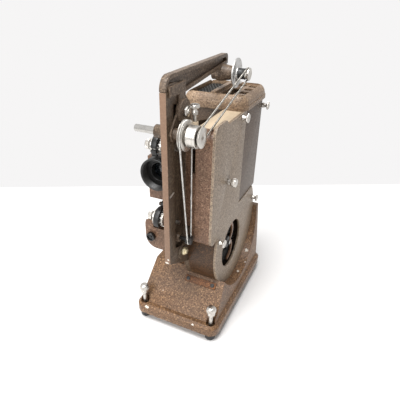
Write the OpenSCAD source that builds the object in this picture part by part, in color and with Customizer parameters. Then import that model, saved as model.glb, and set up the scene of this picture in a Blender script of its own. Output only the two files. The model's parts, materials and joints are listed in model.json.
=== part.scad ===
// Compact cine film projector on a cast base.
// The head is a drum, a gear case and a lamphouse hung on one upright plate.
// +X is the cover side, -X the film side, -Y the way the lens points.
// All sizes are millimetres.

/* [Base] */
// Width of the plinth
base_w = 130; // [124:1:150]
// Depth of the plinth, front to back
base_d = 208; // [205:1:230]
// Rounding of the plinth's corners in plan
base_corner = 14; // [12:1:18]
// Height of the plinth's lip
lip_h = 16; // [14:0.5:18]
// Rounding along the top of the lip
lip_round = 4; // [2:0.5:5]
// Step from the lip in to the upper walls
lip_step = 5; // [3:0.5:6]
// Slope of the front ramp, in degrees
ramp_angle = 48; // [46:0.5:50]
// Height of the flat shoulder on the film side
shoulder_h = 66.5; // [62:0.5:70]
// Height of the post behind the drum
post_h = 112; // [106:1:118]
// Thickness of the base's walls
base_wall = 5; // [4:0.5:6]
// Lean of the base's side walls at the post's top
side_draft = 8; // [6:0.5:9]

/* [Feet] */
// Height of the rubber feet
foot_h = 12.5; // [10:0.5:15]
// Radius of the rubber feet
foot_r = 7.5; // [6.5:0.5:9]
// Inset of the feet from the plinth's sides
foot_inset_x = 12; // [11:0.5:15]
// Inset of the feet from the plinth's front and back
foot_inset_y = 11; // [10:0.5:14]
// Radius of the foot screws' studs
stud_r = 3; // [2.5:0.1:3.5]
// Radius of the foot screws' knobs
foot_knob_r = 7; // [6:0.5:8]
// Height of the foot screws' knobs, both steps together
foot_knob_h = 13; // [10:0.5:15]
// How far a foot screw can be turned down
foot_travel = 9; // [6:0.5:10]
// Radius of the wells round the foot screws
well_r = 6.5; // [6:0.25:7.5]
// Height of the wells' floors above the plinth's underside
well_floor = 9; // [7:0.5:11]

/* [Drum] */
// Distance of the drum's axis behind the plinth's front
drum_y = 115; // [113:0.5:117]
// Height of the drum's axis above the plinth's underside
drum_z = 106; // [104:0.5:110]
// Radius of the drum and of the trough that it lies in
drum_r = 78.7; // [77:0.1:80]
// Width of the drum, from the plate to the cover
drum_w = 37; // [35:0.5:39]
// Thickness of the cast and sheet shells of the head
shell = 3; // [2.5:0.1:3.5]

/* [Plate] */
// Distance of the plate's middle right of the centre line
plate_mid = 2; // [0:0.5:4]
// Thickness of the upright plate at its rim
plate_w = 7; // [6:0.25:8]
// Thickness of the plate's web behind the rim
web_t = 3; // [2.5:0.1:3.5]
// How far the plate's front edge stands ahead of the drum's axis
plate_reach = 130; // [127:0.5:132]
// Height of the plate's lower end above the drum's axis
plate_foot = 15; // [12:0.5:16]
// Depth of the rim along the plate's front edge
rim_d = 15; // [12:0.5:17]
// Thickness of the rib between the plate and the gear case
rib_t = 4; // [3:0.25:5]

/* [Gear case] */
// Width of the gear case, without its cover
case_w = 24; // [23:0.25:24.5]
// How far the gear case's front stands ahead of the drum's axis
case_reach = 97.7; // [96:0.1:97.9]
// Height of the gear case's bottom above the drum's axis
case_foot = 31; // [29:0.5:33]
// Height of the gear case's flat top above the drum's axis
ledge_z = 176; // [173:0.5:177.5]
// Rounding of the gear case's top front edge
brow_r = 18; // [15:0.5:20]
// Rounding of the gear case's lower corners
case_round = 9; // [7:0.5:11]
// Width of the slot behind the belt wheel
slot_w = 10; // [9:0.25:11]

/* [Cover] */
// Thickness of the side cover
cover_t = 3; // [2.5:0.1:4]
// Rise of the side cover's front corner above the gear case's top
corner_rise = 6; // [4:0.5:8]
// Length of the raised front corner
corner_l = 38; // [32:1:44]
// Radius of the fan opening
fan_open_r = 35.7; // [33:0.1:37]
// Distance of the motor's axis ahead of the drum's axis
motor_fwd = 18; // [15:0.5:20]
// Distance of the motor's axis below the drum's axis
motor_drop = 9; // [7:0.5:11]

/* [Lamphouse] */
// How far the lamphouse's front stands ahead of the drum's axis
lamp_fwd = 7; // [5:0.5:9]
// Depth of the lamphouse, front to back
lamp_d = 85; // [82:0.5:87]
// Distance of the lamphouse's film side from the plate
lamp_left = 35; // [33:0.5:38]
// Height of the lamphouse's floor above the drum's axis
lamp_floor = 44; // [42:0.5:46]
// Rounding of the lamphouse's upright edges
lamp_round = 6; // [4:0.5:7]
// Thickness of the lamphouse's walls
lamp_wall = 2.5; // [2:0.1:3]
// Height of the cap above the lamphouse
cap_h = 18.5; // [17:0.5:19]
// Rounding of the cap's shoulders
cap_round = 13; // [11:0.5:15]
// How far the cap's lip stands out past the cover
cap_lip = 2; // [1.5:0.1:2.5]
// Number of slots along the cap's cover side
cap_slots = 4; // [3:1:5]

/* [Spool drive] */
// Radius of the spool spindles
spindle_r = 3.95; // [3.6:0.05:4.1]
// How far the spindles stand out past the plate on the film side
spindle_out = 38; // [36:0.5:42]
// Distance of the front spindle ahead of the drum's axis
front_fwd = 117; // [116.5:0.25:117.5]
// Height of the front spindle above the drum's axis
front_up = 177; // [175:0.5:179]
// Length of the plate's boss on the belt side
boss_l = 12.1; // [11.5:0.1:12.5]
// Radius of the grooved belt wheel
wheel_r = 16; // [15.5:0.1:16.2]
// Width of the grooved belt wheel
wheel_w = 5; // [4.8:0.1:5.5]
// Length of the neck between wheel and clutch drum
neck_l = 1.6; // [1.2:0.1:2]
// Depth of the belt wheel's groove
wheel_groove = 2.8; // [2.5:0.1:3.2]
// Radius of the bright clutch drum
clutch_r = 11.5; // [11:0.25:12.5]
// Length of the bright clutch drum
clutch_l = 10.4; // [10:0.1:11]
// Radius of the bottom of the upper belt's front groove
front_groove_r = 6; // [5.5:0.1:6.5]
// Width of the upper belt's grooves
groove_w = 3; // [2.9:0.1:3.4]
// Thickness of the bright end disc
end_t = 1.8; // [1.5:0.1:2.4]
// Radius of the bottom of the upper belt's rear groove
rear_groove_r = 5.4; // [5.2:0.1:5.8]
// Radius of the rear spindle's thin disc
rear_disc_r = 17.5; // [16:0.1:18]
// Radius of the bottom of the small drive pulley's groove
drive_groove_r = 3.4; // [3.3:0.05:3.6]
// Radius of the small drive pulley's flanges
drive_flange_r = 6; // [5.6:0.1:6.2]
// Radius of the round belts
belt_r = 1.1; // [1:0.05:1.2]

/* [Spool arm] */
// Height of the arm's top above the drum's axis
arm_top = 234; // [232:0.5:238]
// Distance of the arm's rear end behind the drum's axis
arm_back = 33; // [31:0.5:38]
// Distance of the rear spindle from the arm's rear end
rear_inset = 14; // [13:0.5:15]
// Distance of the rear spindle below the arm's top
rear_drop = 20.5; // [19.5:0.5:21]
// Depth of the arm at its rear end
arm_tail = 12; // [11:0.5:14]
// Radius of the arm's seat round the front spindle
seat_r = 44; // [43.5:0.25:44.5]
// Rounding of the arm's upper front corner
arm_round = 13; // [11:0.5:15]
// Thickness of the arm's leg beside the plate
leg_w = 2; // [1.8:0.1:2.4]
// Length of the arm's round boss
arm_boss_l = 5.1; // [4.8:0.1:6]
// Radius of the arm's round boss
arm_boss_r = 12.5; // [11.5:0.25:13]
// Size of the arm bolt's hexagon, corner to corner
bolt_hex = 12; // [10:0.5:13]

/* [Film side] */
// Distance of the film line from the plate
film_out = 19.5; // [19:0.25:20.5]
// Width of the sprockets
sprocket_w = 14; // [13:0.5:15]
// Radius of the sprockets over their rims
sprocket_r = 9.5; // [9:0.25:9.75]
// Teeth on each sprocket
sprocket_teeth = 12; // [10:1:14]
// Height of the sprockets' teeth
tooth_h = 1; // [0.8:0.1:1.2]
// Distance of the upper sprocket ahead of the drum's axis
upper_fwd = 100; // [99:0.25:101]
// Height of the upper sprocket above the drum's axis
upper_up = 154; // [153.5:0.25:155]
// Distance of the lower sprocket ahead of the drum's axis
lower_fwd = 103; // [102:0.25:104]
// Height of the lower sprocket above the drum's axis
lower_up = 62; // [60:0.25:63]
// Height of the lens axis above the drum's axis
lens_up = 123; // [122.5:0.25:123.25]
// Radius of the lens barrel
lens_r = 13; // [12:0.25:13.5]
// Radius of the lens hood
hood_r = 19.5; // [18:0.1:19.5]
// Length of the lens hood
hood_l = 13; // [11:0.5:14]
// How far the lens can be turned out to focus
focus_travel = 8; // [5:0.5:10]
// How far the lens mount's front stands ahead of the drum's axis
mount_fwd = 99; // [98:0.25:99.5]
// Depth of the lens mount along the lens
mount_d = 27; // [25:0.5:29]
// Depth of the lower housing, front to back
housing_d = 44; // [40:0.5:48]
// How far the lower housing's front stands ahead of the drum's axis
housing_fwd = 109; // [108:0.25:110]

/* [Fits] */
// Radial running clearance of shafts in their bores
run_gap = 0.05; // [0.03:0.01:0.09]
// Air between parts that move past each other
air = 0.4; // [0.3:0.05:0.5]

/* [Hidden] */

enamel = "#6b5644";
nickel = "#c9c7c2";
steel = "#a9a8a5";
black = "#1c1b1a";
brass = "#b99a5b";

$fn = 64;
hull_fn = 32;
over = 1;

// Places across the object
plate_x0 = plate_mid - plate_w / 2;
plate_x1 = plate_x0 + plate_w;
drum_x1 = plate_x1 + drum_w;
cover_x1 = drum_x1 + cover_t;
case_x0 = drum_x1 - case_w;
lamp_x0 = plate_x0 - lamp_left;
lamp_x1 = cover_x1 - lamp_wall / 2;
film_x = plate_x0 - film_out;
journal_r = spindle_r + 0.5;
bearing_r = journal_r + 1.5;
front_shoulder = film_x + sprocket_w / 2 - air;
rear_boss_out = 6;
rear_shoulder = plate_x0 - rear_boss_out - air;
wheel_x0 = plate_x1 + boss_l + air;
wheel_x1 = wheel_x0 + wheel_w;
clutch_x0 = wheel_x1 + neck_l;
clutch_x1 = clutch_x0 + clutch_l;
groove_x1 = clutch_x1 + groove_w;
upper_belt_x = clutch_x1 + groove_w / 2;
lower_belt_x = wheel_x0 + wheel_w / 2;
leg_x0 = plate_x1 + air;
leg_x1 = leg_x0 + leg_w;

// Places along and up the head, from the drum's axis
front_y = -front_fwd;
front_z = front_up;
rear_y = arm_back - rear_inset;
rear_z = arm_top - rear_drop;
motor_y = -motor_fwd;
motor_z = -motor_drop;
lamp_y0 = -lamp_fwd;
lamp_y1 = lamp_y0 + lamp_d;
case_y0 = -case_reach;
plate_y0 = -plate_reach;
corner_z = ledge_z + corner_rise;
cover_back_y = 2;
cover_back_z = lamp_floor + shell;
mount_y0 = -mount_fwd;
mount_y1 = mount_y0 + mount_d;
gate_y0 = mount_y1 + 2;
rib_y = case_y0 + 11;

// Belt circles: each belt rides just clear of its grooves
wheel_belt_r = wheel_r - wheel_groove + belt_r + air;
drive_belt_r = drive_groove_r + belt_r + air;
front_belt_r = front_groove_r + belt_r + air;
rear_belt_r = rear_groove_r + belt_r + air;
drive_y = front_y + wheel_belt_r - drive_belt_r;
drive_z = case_foot + 12;
drive_shaft_r = 2.5;

// Lower boss of the plate with its nut
nut_y = case_y0 - 0.5;
nut_z = plate_foot + 2;
nut_boss_r = 11;
nut_boss_l = 2;
nut_x0 = plate_x1 + nut_boss_l;
nut_l = 4;

// Places of the screws on the cover side
screw_r = 2.5;
thread_l = 11;
screw_boss_r = 4.5;
top_screw = [lamp_y0 - 7, ledge_z - 5];
front_screw = [-drum_r + 10.2, cover_back_z - 24.5];
rear_screw = [drum_r - 9.2, cover_back_z - 22.5];
house_screw = [lamp_y1 - 4, ledge_z - 11];
framing_at = [case_x0 + 1.5, case_y0 + 2.8];
clutch_at = [case_y0 + 46, lens_up - 20];

// Film side
shaft_r = 3;
upper_y = -upper_fwd;
lower_y = -lower_fwd;
tip_r = sprocket_r + tooth_h;
keeper_r = tip_r + air;
keeper_t = 3;
keeper_eye_r = 5;
keeper_pin_r = 2.5;
keeper_reach = keeper_r + keeper_t + 3;
upper_pin = [upper_y + keeper_reach * cos(20), upper_up + keeper_reach * sin(20)];
lower_pin = [lower_y + keeper_reach * cos(50), lower_up + keeper_reach * sin(50)];
housing_y0 = -housing_fwd;
housing_z0 = plate_foot + 2;
housing_z1 = lower_up + 4;
housing_out = film_out + 20;
knob_at = [plate_x0 - housing_out + 9, housing_z0 + 18];

// The whole object is centred front to back and stands on the floor
front_end = drum_y + front_y - wheel_r;
y_shift = -(base_d + front_end) / 2;

module on_floor() {
    translate([0, y_shift, foot_h]) children();
}

module on_head() {
    translate([0, y_shift + drum_y, foot_h + drum_z]) children();
}

// Round bar along X
module x_bar(r, x0, x1, at) {
    translate([x0, at[0], at[1]]) rotate([0, 90, 0]) cylinder(r = r, h = x1 - x0);
}

// Round bar along Y
module y_bar(r, y0, y1, x, z) {
    translate([x, y1, z]) rotate([90, 0, 0]) cylinder(r = r, h = y1 - y0);
}

// Round bar along Z
module z_bar(r, z0, z1, x, y) {
    translate([x, y, z0]) cylinder(r = r, h = z1 - z0);
}

// A flat outline drawn in Y and Z, given thickness along X
module side_slab(x0, x1) {
    translate([x0, 0, 0]) rotate([90, 0, 90]) linear_extrude(x1 - x0) children();
}

// A flat outline drawn in X and Z, given thickness along Y
module front_slab(y0, y1) {
    translate([0, y1, 0]) rotate([90, 0, 0]) linear_extrude(y1 - y0) children();
}

// A rectangle from one corner, with round corners of true arcs
module round_rect(w, d, r) {
    translate([r, 0]) square([w - 2 * r, d]);
    translate([0, r]) square([w, d - 2 * r]);
    for (px = [r, w - r], py = [r, d - r])
        translate([px, py]) circle(r);
}

// A pie slice between two angles, for cutting rings
module wedge(r, a0, a1) {
    polygon(concat([[0, 0]],
        [for (k = [0:8]) let(a = a0 + (a1 - a0) * k / 8) r * [cos(a), sin(a)]]));
}

// Base: plinth, ramp, shoulder, trough and rear post
ramp_y0 = 2 * lip_step;
function ramp_z(y) = lip_h + (y - ramp_y0) * tan(ramp_angle);
function ramp_y(z) = ramp_y0 + (z - lip_h) / tan(ramp_angle);
foot_x = base_w / 2 - foot_inset_x;
wall_drop = base_wall / cos(ramp_angle);
inlet_x = -base_w / 4;
inlet_z = shoulder_h / 2;
inlet_r = 11;

module base_plan(inset) {
    w = base_w - 2 * inset;
    d = base_d - 2 * inset;
    translate([-w / 2, inset]) round_rect(w, d, max(1, base_corner - inset));
}

module base_profile() {
    polygon([[0, 0], [0, lip_h], [ramp_y0, lip_h], [ramp_y(shoulder_h), shoulder_h],
        [base_d, shoulder_h], [base_d, 0]]);
}

module base_hollow_profile() {
    top = shoulder_h - base_wall;
    polygon([[0, -over], [0, lip_h - base_wall], [ramp_y(lip_h - base_wall + wall_drop), lip_h - base_wall],
        [ramp_y(top + wall_drop), top], [base_d, top], [base_d, -over]]);
}

// Front view of the upper body, whose sides lean in
module base_front_view(inset) {
    w = base_w / 2 - lip_step - inset;
    polygon([[-w, -over], [w, -over], [w, lip_h], [w - side_draft, post_h],
        [side_draft - w, post_h], [-w, lip_h]]);
}

module trough(r) {
    x_bar(r, plate_x0, base_w, [drum_y, drum_z]);
}

module base_hollow() {
    difference() {
        intersection() {
            translate([0, 0, -over]) linear_extrude(post_h) base_plan(lip_step + base_wall);
            side_slab(-base_w, base_w) base_hollow_profile();
            front_slab(-over, base_d + over) base_front_view(base_wall);
        }
        x_bar(drum_r + base_wall, plate_x0 - base_wall, base_w, [drum_y, drum_z]);
        for (side = [-1, 1], py = [foot_inset_y, base_d - foot_inset_y])
            z_bar(well_r + base_wall, -over, post_h, side * foot_x, py);
    }
}

module base_casting() {
    color(enamel) on_floor() difference() {
        union() {
            hull() {
                linear_extrude(lip_h - lip_round) base_plan(0, $fn = hull_fn);
                linear_extrude(lip_h) base_plan(lip_round, $fn = hull_fn);
            }
            intersection() {
                linear_extrude(post_h) base_plan(lip_step);
                front_slab(-over, base_d + over) base_front_view(0);
                union() {
                    side_slab(-base_w / 2, base_w / 2) base_profile();
                    side_slab(plate_x0, base_w / 2)
                        translate([drum_y, 0]) square([base_d - drum_y, post_h]);
                }
            }
        }
        trough(drum_r);
        base_hollow();
        for (side = [-1, 1]) {
            z_bar(well_r, well_floor, post_h, side * foot_x, foot_inset_y);
            z_bar(stud_r + run_gap, -over, post_h, side * foot_x, foot_inset_y);
        }
        y_bar(inlet_r, base_d - lip_step - base_wall - over, base_d, inlet_x, inlet_z);
    }
}

// Rubber pad with a rounded-off tread
pad_edge = 2;

module pad_body(h) {
    cylinder(r1 = foot_r - pad_edge / 2, r2 = foot_r, h = pad_edge);
    translate([0, 0, pad_edge]) cylinder(r = foot_r, h = h - pad_edge);
}

module rear_feet() {
    color(black) on_floor() for (side = [-1, 1])
        translate([side * foot_x, base_d - foot_inset_y, -foot_h])
            pad_body(foot_h);
}

// Strip screwed to the ramp in front of the drum
strip_l = cover_x1 - plate_x0;
strip_d = 9.5;
strip_t = 2.5;
strip_gap = 4.8;
ramp_dir = [cos(ramp_angle), sin(ramp_angle)];
ramp_foot = [ramp_y0 - drum_y, lip_h - drum_z];
ramp_mid = -ramp_foot * ramp_dir;
drum_meet = ramp_mid - sqrt(ramp_mid * ramp_mid - ramp_foot * ramp_foot + drum_r * drum_r);
strip_at = drum_meet - strip_gap - strip_d;

module on_strip() {
    on_floor() translate([plate_x0, ramp_y0 + strip_at * ramp_dir[0], lip_h + strip_at * ramp_dir[1]])
        rotate([ramp_angle, 0, 0]) children();
}

module clamp_strip() {
    color("#7a4a33") on_strip() cube([strip_l, strip_d, strip_t]);
}

module strip_screws() {
    color(black) on_strip() for (px = [strip_d / 2, strip_l - strip_d / 2])
        translate([px, strip_d / 2, strip_t]) difference() {
            cylinder(r = 2.8, h = 1.4);
            translate([-4, -0.4, 0.7]) cube([8, 0.8, 2]);
        }
}

module power_inlet() {
    y0 = base_d - lip_step - base_wall;
    y1 = base_d - lip_step + 1.5;
    color(black) on_floor() {
        difference() {
            y_bar(inlet_r, y0, y1, inlet_x, inlet_z);
            y_bar(inlet_r - 2.5, y0 + 1.5, y1 + over, inlet_x, inlet_z);
        }
        for (dx = [-4, 4])
            y_bar(1.6, y0 + 1, y1 - 1, inlet_x + dx, inlet_z);
    }
}

// Front foot screws
knob_low_h = foot_knob_h * 0.3;
knob_z0 = ramp_z(foot_inset_y + foot_knob_r) + foot_travel;

module foot_screw(side) {
    color(nickel) on_floor() translate([side * foot_x, foot_inset_y, 0]) {
        translate([0, 0, -foot_h / 2]) cylinder(r = stud_r, h = knob_z0 + foot_h / 2);
        translate([0, 0, knob_z0]) cylinder(r = foot_knob_r * 0.76, h = knob_low_h);
        translate([0, 0, knob_z0 + knob_low_h]) cylinder(r = foot_knob_r, h = foot_knob_h - knob_low_h);
    }
}

module foot_pad(side) {
    color(black) on_floor() translate([side * foot_x, foot_inset_y, -foot_h]) difference() {
        pad_body(foot_h - air);
        translate([0, 0, foot_h / 2]) cylinder(r = stud_r, h = foot_h);
    }
}

// Motor drum: a cup that the plate closes on one side and the cover on the other
// Its duct lets the fan's air up into the lamphouse
duct_in = 8;
duct_fwd = 14;
duct_back = 18;

module motor_drum() {
    color(enamel) on_head() difference() {
        union() {
            difference() {
                x_bar(drum_r, plate_x1, drum_x1, [0, 0]);
                x_bar(drum_r - shell, plate_x1 + shell, drum_x1 + over, [0, 0]);
            }
            for (at = [front_screw, rear_screw]) intersection() {
                x_bar(screw_boss_r, plate_x1, drum_x1, at);
                x_bar(drum_r, plate_x1, drum_x1, [0, 0]);
            }
        }
        for (at = [front_screw, rear_screw])
            x_bar(screw_r + run_gap, plate_x1 + shell, drum_x1 + over, at);
        translate([plate_x1 + duct_in, lamp_y0 + duct_fwd, lamp_floor])
            cube([drum_w - 2 * duct_in, lamp_d - duct_fwd - duct_back, drum_r]);
    }
}

// Upright plate
plate_fall = 12;
recess_gap = 5;
hub_wall = 3;

module plate_outline() {
    intersection() {
        translate([front_y, front_z]) circle(seat_r, $fn = 128);
        translate([plate_y0, front_z]) square([2 * seat_r, seat_r + over]);
    }
    polygon([[plate_y0, plate_foot], [plate_y0, front_z], [front_y + seat_r, front_z],
        [lamp_y0, ledge_z - plate_fall], [lamp_y0, 0], [shell - drum_r, -plate_foot]]);
    difference() {
        circle(drum_r, $fn = 128);
        translate([lamp_y0, lamp_floor]) square(2 * drum_r);
    }
}

module plate_recess() {
    difference() {
        polygon([[plate_y0 + rim_d, plate_foot + rim_d], [plate_y0 + rim_d, front_z + seat_r - rim_d],
            [front_y + seat_r - rim_d, front_z + seat_r / 2], [front_y + seat_r - rim_d / 2, front_z - rim_d],
            [lamp_y0 - rim_d, ledge_z - 2 * rim_d], [lamp_y0 - rim_d, 0]]);
        circle(drum_r + recess_gap);
        translate([rib_y, 0]) square([rib_t, front_z]);
    }
}

module main_plate() {
    color(enamel) on_head() difference() {
        union() {
            side_slab(plate_x0, plate_x0 + web_t) plate_outline();
            side_slab(plate_x0, plate_x1) difference() {
                plate_outline();
                plate_recess();
            }
            x_bar(bearing_r, plate_x0, plate_x1 + boss_l, [front_y, front_z]);
            x_bar(bearing_r + 1, film_x + sprocket_w / 2, plate_x0, [front_y, front_z]);
            x_bar(shaft_r + hub_wall, film_x + sprocket_w / 2 + air, plate_x0, [upper_y, upper_up]);
            x_bar(drive_shaft_r + hub_wall, plate_x0, plate_x1 + hub_wall, [drive_y, drive_z]);
            x_bar(nut_boss_r, plate_x0, plate_x1 + nut_boss_l, [nut_y, nut_z]);
            x_bar(keeper_pin_r, film_x - sprocket_w / 2, plate_x0, upper_pin);
            x_bar(keeper_pin_r, film_x - sprocket_w / 2, plate_x0, lower_pin);
        }
        x_bar(journal_r + run_gap, film_x, plate_x1 + boss_l + over, [front_y, front_z]);
        x_bar(shaft_r + run_gap, plate_x0 - film_out, plate_x1 + over, [upper_y, upper_up]);
        x_bar(shaft_r + run_gap, plate_x0 - over, plate_x1 + over, [lower_y, lower_up]);
        x_bar(drive_shaft_r + run_gap, plate_x0 - over, plate_x1 + hub_wall + over, [drive_y, drive_z]);
    }
}

module shaft_nut() {
    color(brass) on_head() {
        x_bar(nut_boss_r / 2, nut_x0, nut_x0 + nut_l, [nut_y, nut_z]);
        x_bar(nut_boss_r / 3, nut_x0, nut_x0 + 1.5 * nut_l, [nut_y, nut_z]);
    }
}

// Gear case in front of the lamphouse, open towards the cover
module case_outline(inset) {
    y0 = case_y0 + inset;
    z0 = case_foot + inset;
    z1 = ledge_z - inset;
    low = case_round;
    difference() {
        union() {
            translate([y0 + low, z0]) square([lamp_y0 - y0 - low, z1 - z0]);
            translate([y0, z0 + low]) square([low + over, z1 - z0 - low - brow_r]);
            translate([y0 + low, z0 + low]) circle(low);
            intersection() {
                translate([y0 + brow_r, z1 - brow_r]) circle(brow_r);
                translate([y0, z1 - brow_r]) square(brow_r);
            }
            translate([y0 + brow_r, z1 - brow_r]) square([over, brow_r]);
        }
        translate([y0, z1 - brow_r]) difference() {
            square(brow_r);
            translate([brow_r, 0]) circle(brow_r);
        }
    }
}

module case_front_shape() {
    h = ledge_z - case_foot;
    translate([case_x0, case_foot]) {
        translate([case_round, 0]) square([case_w, h]);
        translate([0, case_round]) square([case_round + over, h - case_round]);
        translate([case_round, case_round]) circle(case_round);
    }
}

slot_mid = case_x0 - 1;
rib_drop = 8;

module belt_slot() {
    z0 = lens_up + slot_w / 4;
    front_slab(case_y0 - over, rib_y + rib_t + over) {
        translate([slot_mid, z0]) circle(slot_w / 2);
        translate([slot_mid - slot_w / 2, z0]) square([slot_w, front_z - z0 - wheel_r - rib_t]);
    }
}

module gear_case() {
    left_wall = slot_w / 2 + slot_mid - case_x0 + 1;
    color(enamel) on_head() difference() {
        union() {
            intersection() {
                side_slab(case_x0, drum_x1) case_outline(0);
                front_slab(case_y0 - over, lamp_y0 + over) case_front_shape();
            }
            z_bar(framing_boss_r, ledge_z - brow_r, framing_seat, framing_at[0], framing_at[1]);
            translate([plate_x1, rib_y, case_foot + brow_r])
                cube([case_x0 - plate_x1 + over, rib_t, ledge_z - case_foot - brow_r - rib_drop]);
        }
        x_bar(drum_r, plate_x1, drum_x1 + over, [0, 0]);
        side_slab(case_x0 + left_wall, drum_x1 + over) difference() {
            case_outline(shell);
            circle(drum_r + shell, $fn = 128);
            for (at = [top_screw, clutch_at])
                translate(at) circle(screw_boss_r);
        }
        for (at = [top_screw, clutch_at])
            x_bar(screw_r + run_gap, cover_x1 - thread_l - air, drum_x1 + over, at);
        belt_slot();
        z_bar(framing_r + run_gap, framing_z0 - air, framing_seat + over, framing_at[0], framing_at[1]);
    }
}

// Side cover: one flat plate over the drum and the gear case
module cover_outline() {
    difference() {
        circle(drum_r, $fn = 128);
        translate([cover_back_y, cover_back_z]) square(drum_r);
    }
    translate([case_y0, case_foot]) round_rect(corner_l, corner_z - case_foot, case_round);
    translate([case_y0 + corner_l / 2, case_foot])
        square([cover_back_y - case_y0 - corner_l / 2, ledge_z - case_foot]);
}

module side_cover() {
    color("#75655a") on_head() difference() {
        side_slab(drum_x1, cover_x1) cover_outline();
        x_bar(fan_open_r, drum_x1 - over, cover_x1 + over, [motor_y, motor_z]);
        for (at = [top_screw, front_screw, rear_screw, clutch_at])
            x_bar(screw_r + run_gap, drum_x1 - over, cover_x1 + over, at);
    }
}

// Lamphouse: box with a floor, open at the top under its cap
louvres = 5;
louvre_h = 4;
louvre_z0 = lamp_floor + 60;

module lamphouse() {
    w = lamp_x1 - lamp_x0;
    color("#5f4e40") on_head() difference() {
        translate([lamp_x0, lamp_y0, lamp_floor]) linear_extrude(ledge_z - lamp_floor)
            round_rect(w, lamp_d, lamp_round);
        translate([lamp_x0 + lamp_wall, lamp_y0 + lamp_wall, lamp_floor + lamp_wall])
            linear_extrude(ledge_z)
                round_rect(w - 2 * lamp_wall, lamp_d - 2 * lamp_wall, lamp_round / 4);
        x_bar(drum_r, plate_x1, drum_x1, [0, 0]);
        side_slab(drum_x1, lamp_x1 + over) {
            translate([lamp_y0 - over, 0]) square([cover_back_y - lamp_y0 + over + air, 2 * ledge_z]);
            translate([lamp_y0 - over, 0]) square([lamp_d + 2, cover_back_z + air]);
        }
        y_bar(lens_r, lamp_y0 - over, lamp_y0 + lamp_wall + over, film_x, lens_up);
        x_bar(screw_r + run_gap, lamp_x1 - thread_l - air, lamp_x1 + over, house_screw);
        for (k = [0 : louvres - 1])
            translate([lamp_x0 + w / 4, lamp_y1 - lamp_wall - over, louvre_z0 + 3 * louvre_h * k])
                cube([w / 2, lamp_wall + 2 * over, louvre_h]);
    }
}

// Cap of the lamphouse with its slots and grille
cap_x0 = lamp_x0 - cap_lip;
cap_x1 = cover_x1 + cap_lip;
cap_y0 = lamp_y0 - cap_lip;
cap_y1 = lamp_y1 + cap_lip;
cap_z1 = ledge_z + cap_h;
lip_t = 5;
cap_bead = 0.8;
vent_edge = 7;
vent_sink = 4.5;
vent_corner = 4;
vent_inset = 12;
grille_x0 = cap_x0 + cap_round / 2;
grille_x1 = plate_x0 - 2;
grille_y0 = cap_y0 + vent_edge;
grille_y1 = cap_y1 - vent_edge + over;
vent_z = cap_z1 - vent_sink;
vent_x1 = cap_x1 - vent_edge;
bar_x1 = grille_x1 + 10;
cap_open_w = 16;
cap_bridge = 9;
knob_y = grille_y1 - 18;

module cap_dome(inset, z0) {
    r = cap_round - inset;
    hull() {
        for (px = [cap_x0 + cap_round, cap_x1 - cap_round], py = [cap_y0 + cap_round, cap_y1 - cap_round]) {
            translate([px, py, cap_z1 - cap_round]) sphere(r, $fn = hull_fn);
            translate([px, py, z0]) cylinder(r = r, h = 1, $fn = hull_fn);
        }
    }
}

module lamphouse_cap() {
    slot_pitch = (grille_y1 - grille_y0) / cap_slots;
    slot_x0 = bar_x1 + cap_open_w + 4;
    color("#7a6a5c") on_head() difference() {
        union() {
            difference() {
                union() {
                    cap_dome(0, ledge_z);
                    translate([cap_x0 - cap_bead, cap_y0 - cap_bead, ledge_z]) linear_extrude(lip_t)
                        round_rect(cap_x1 - cap_x0 + 2 * cap_bead, cap_y1 - cap_y0 + 2 * cap_bead, cap_round);
                }
                cap_dome(shell, ledge_z - over);
                translate([grille_x0, grille_y0, vent_z]) linear_extrude(cap_round)
                    round_rect(vent_x1 - grille_x0, grille_y1 - grille_y0, vent_corner);
            }
            translate([grille_x0 - 1, grille_y0 - 1, vent_z - shell])
                cube([vent_x1 - grille_x0 + 2, grille_y1 - grille_y0 + 2, shell]);
            translate([grille_x1 + 2, grille_y0, vent_z - 1])
                cube([bar_x1 - grille_x1 - 4, grille_y1 - grille_y0, cap_z1 - vent_z + 1]);
        }
        translate([cap_x0 - cap_round, cap_y0 - cap_round, ledge_z - 2 * cap_round])
            cube([3 * base_w, 3 * lamp_d, 2 * cap_round]);
        translate([grille_x0, grille_y0, vent_z - cap_round])
            cube([grille_x1 - grille_x0, grille_y1 - grille_y0, 2 * cap_round]);
        translate([bar_x1, grille_y0 + vent_inset, vent_z - cap_round])
            cube([cap_open_w, knob_y - cap_bridge / 2 - grille_y0 - vent_inset, 2 * cap_round]);
        translate([bar_x1, knob_y + cap_bridge / 2, vent_z - cap_round])
            cube([cap_open_w, grille_y1 - knob_y - cap_bridge / 2 - 2, 2 * cap_round]);
        translate([bar_x1, grille_y0 + 2, vent_z - cap_round])
            cube([vent_inset / 2, vent_edge, 2 * cap_round]);
        for (k = [0 : cap_slots - 1])
            translate([slot_x0, grille_y0 + slot_pitch * (k + 0.17), vent_z - cap_round])
                cube([vent_x1 - slot_x0 - 2, slot_pitch * 0.66, 2 * cap_round]);
    }
}

// Black perforated sheet let into the cap's film side
mesh_t = 1.2;
mesh_pitch = 5;
mesh_hole_r = 1.7;

module cap_grille() {
    w = grille_x1 - grille_x0;
    d = grille_y1 - grille_y0;
    cols = floor(w / mesh_pitch);
    rows = floor(d / mesh_pitch);
    color(black) on_head() translate([grille_x0, grille_y0, vent_z - shell]) linear_extrude(mesh_t)
        difference() {
            square([w, d]);
            for (i = [0 : cols - 1], j = [0 : rows - 1])
                translate([w / 2, d / 2] + [i - (cols - 1) / 2, j - (rows - 1) / 2] * mesh_pitch)
                    circle(mesh_hole_r, $fn = 16);
        }
}

cap_knob_r = 4;
cap_knob_h = 7;

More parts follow.
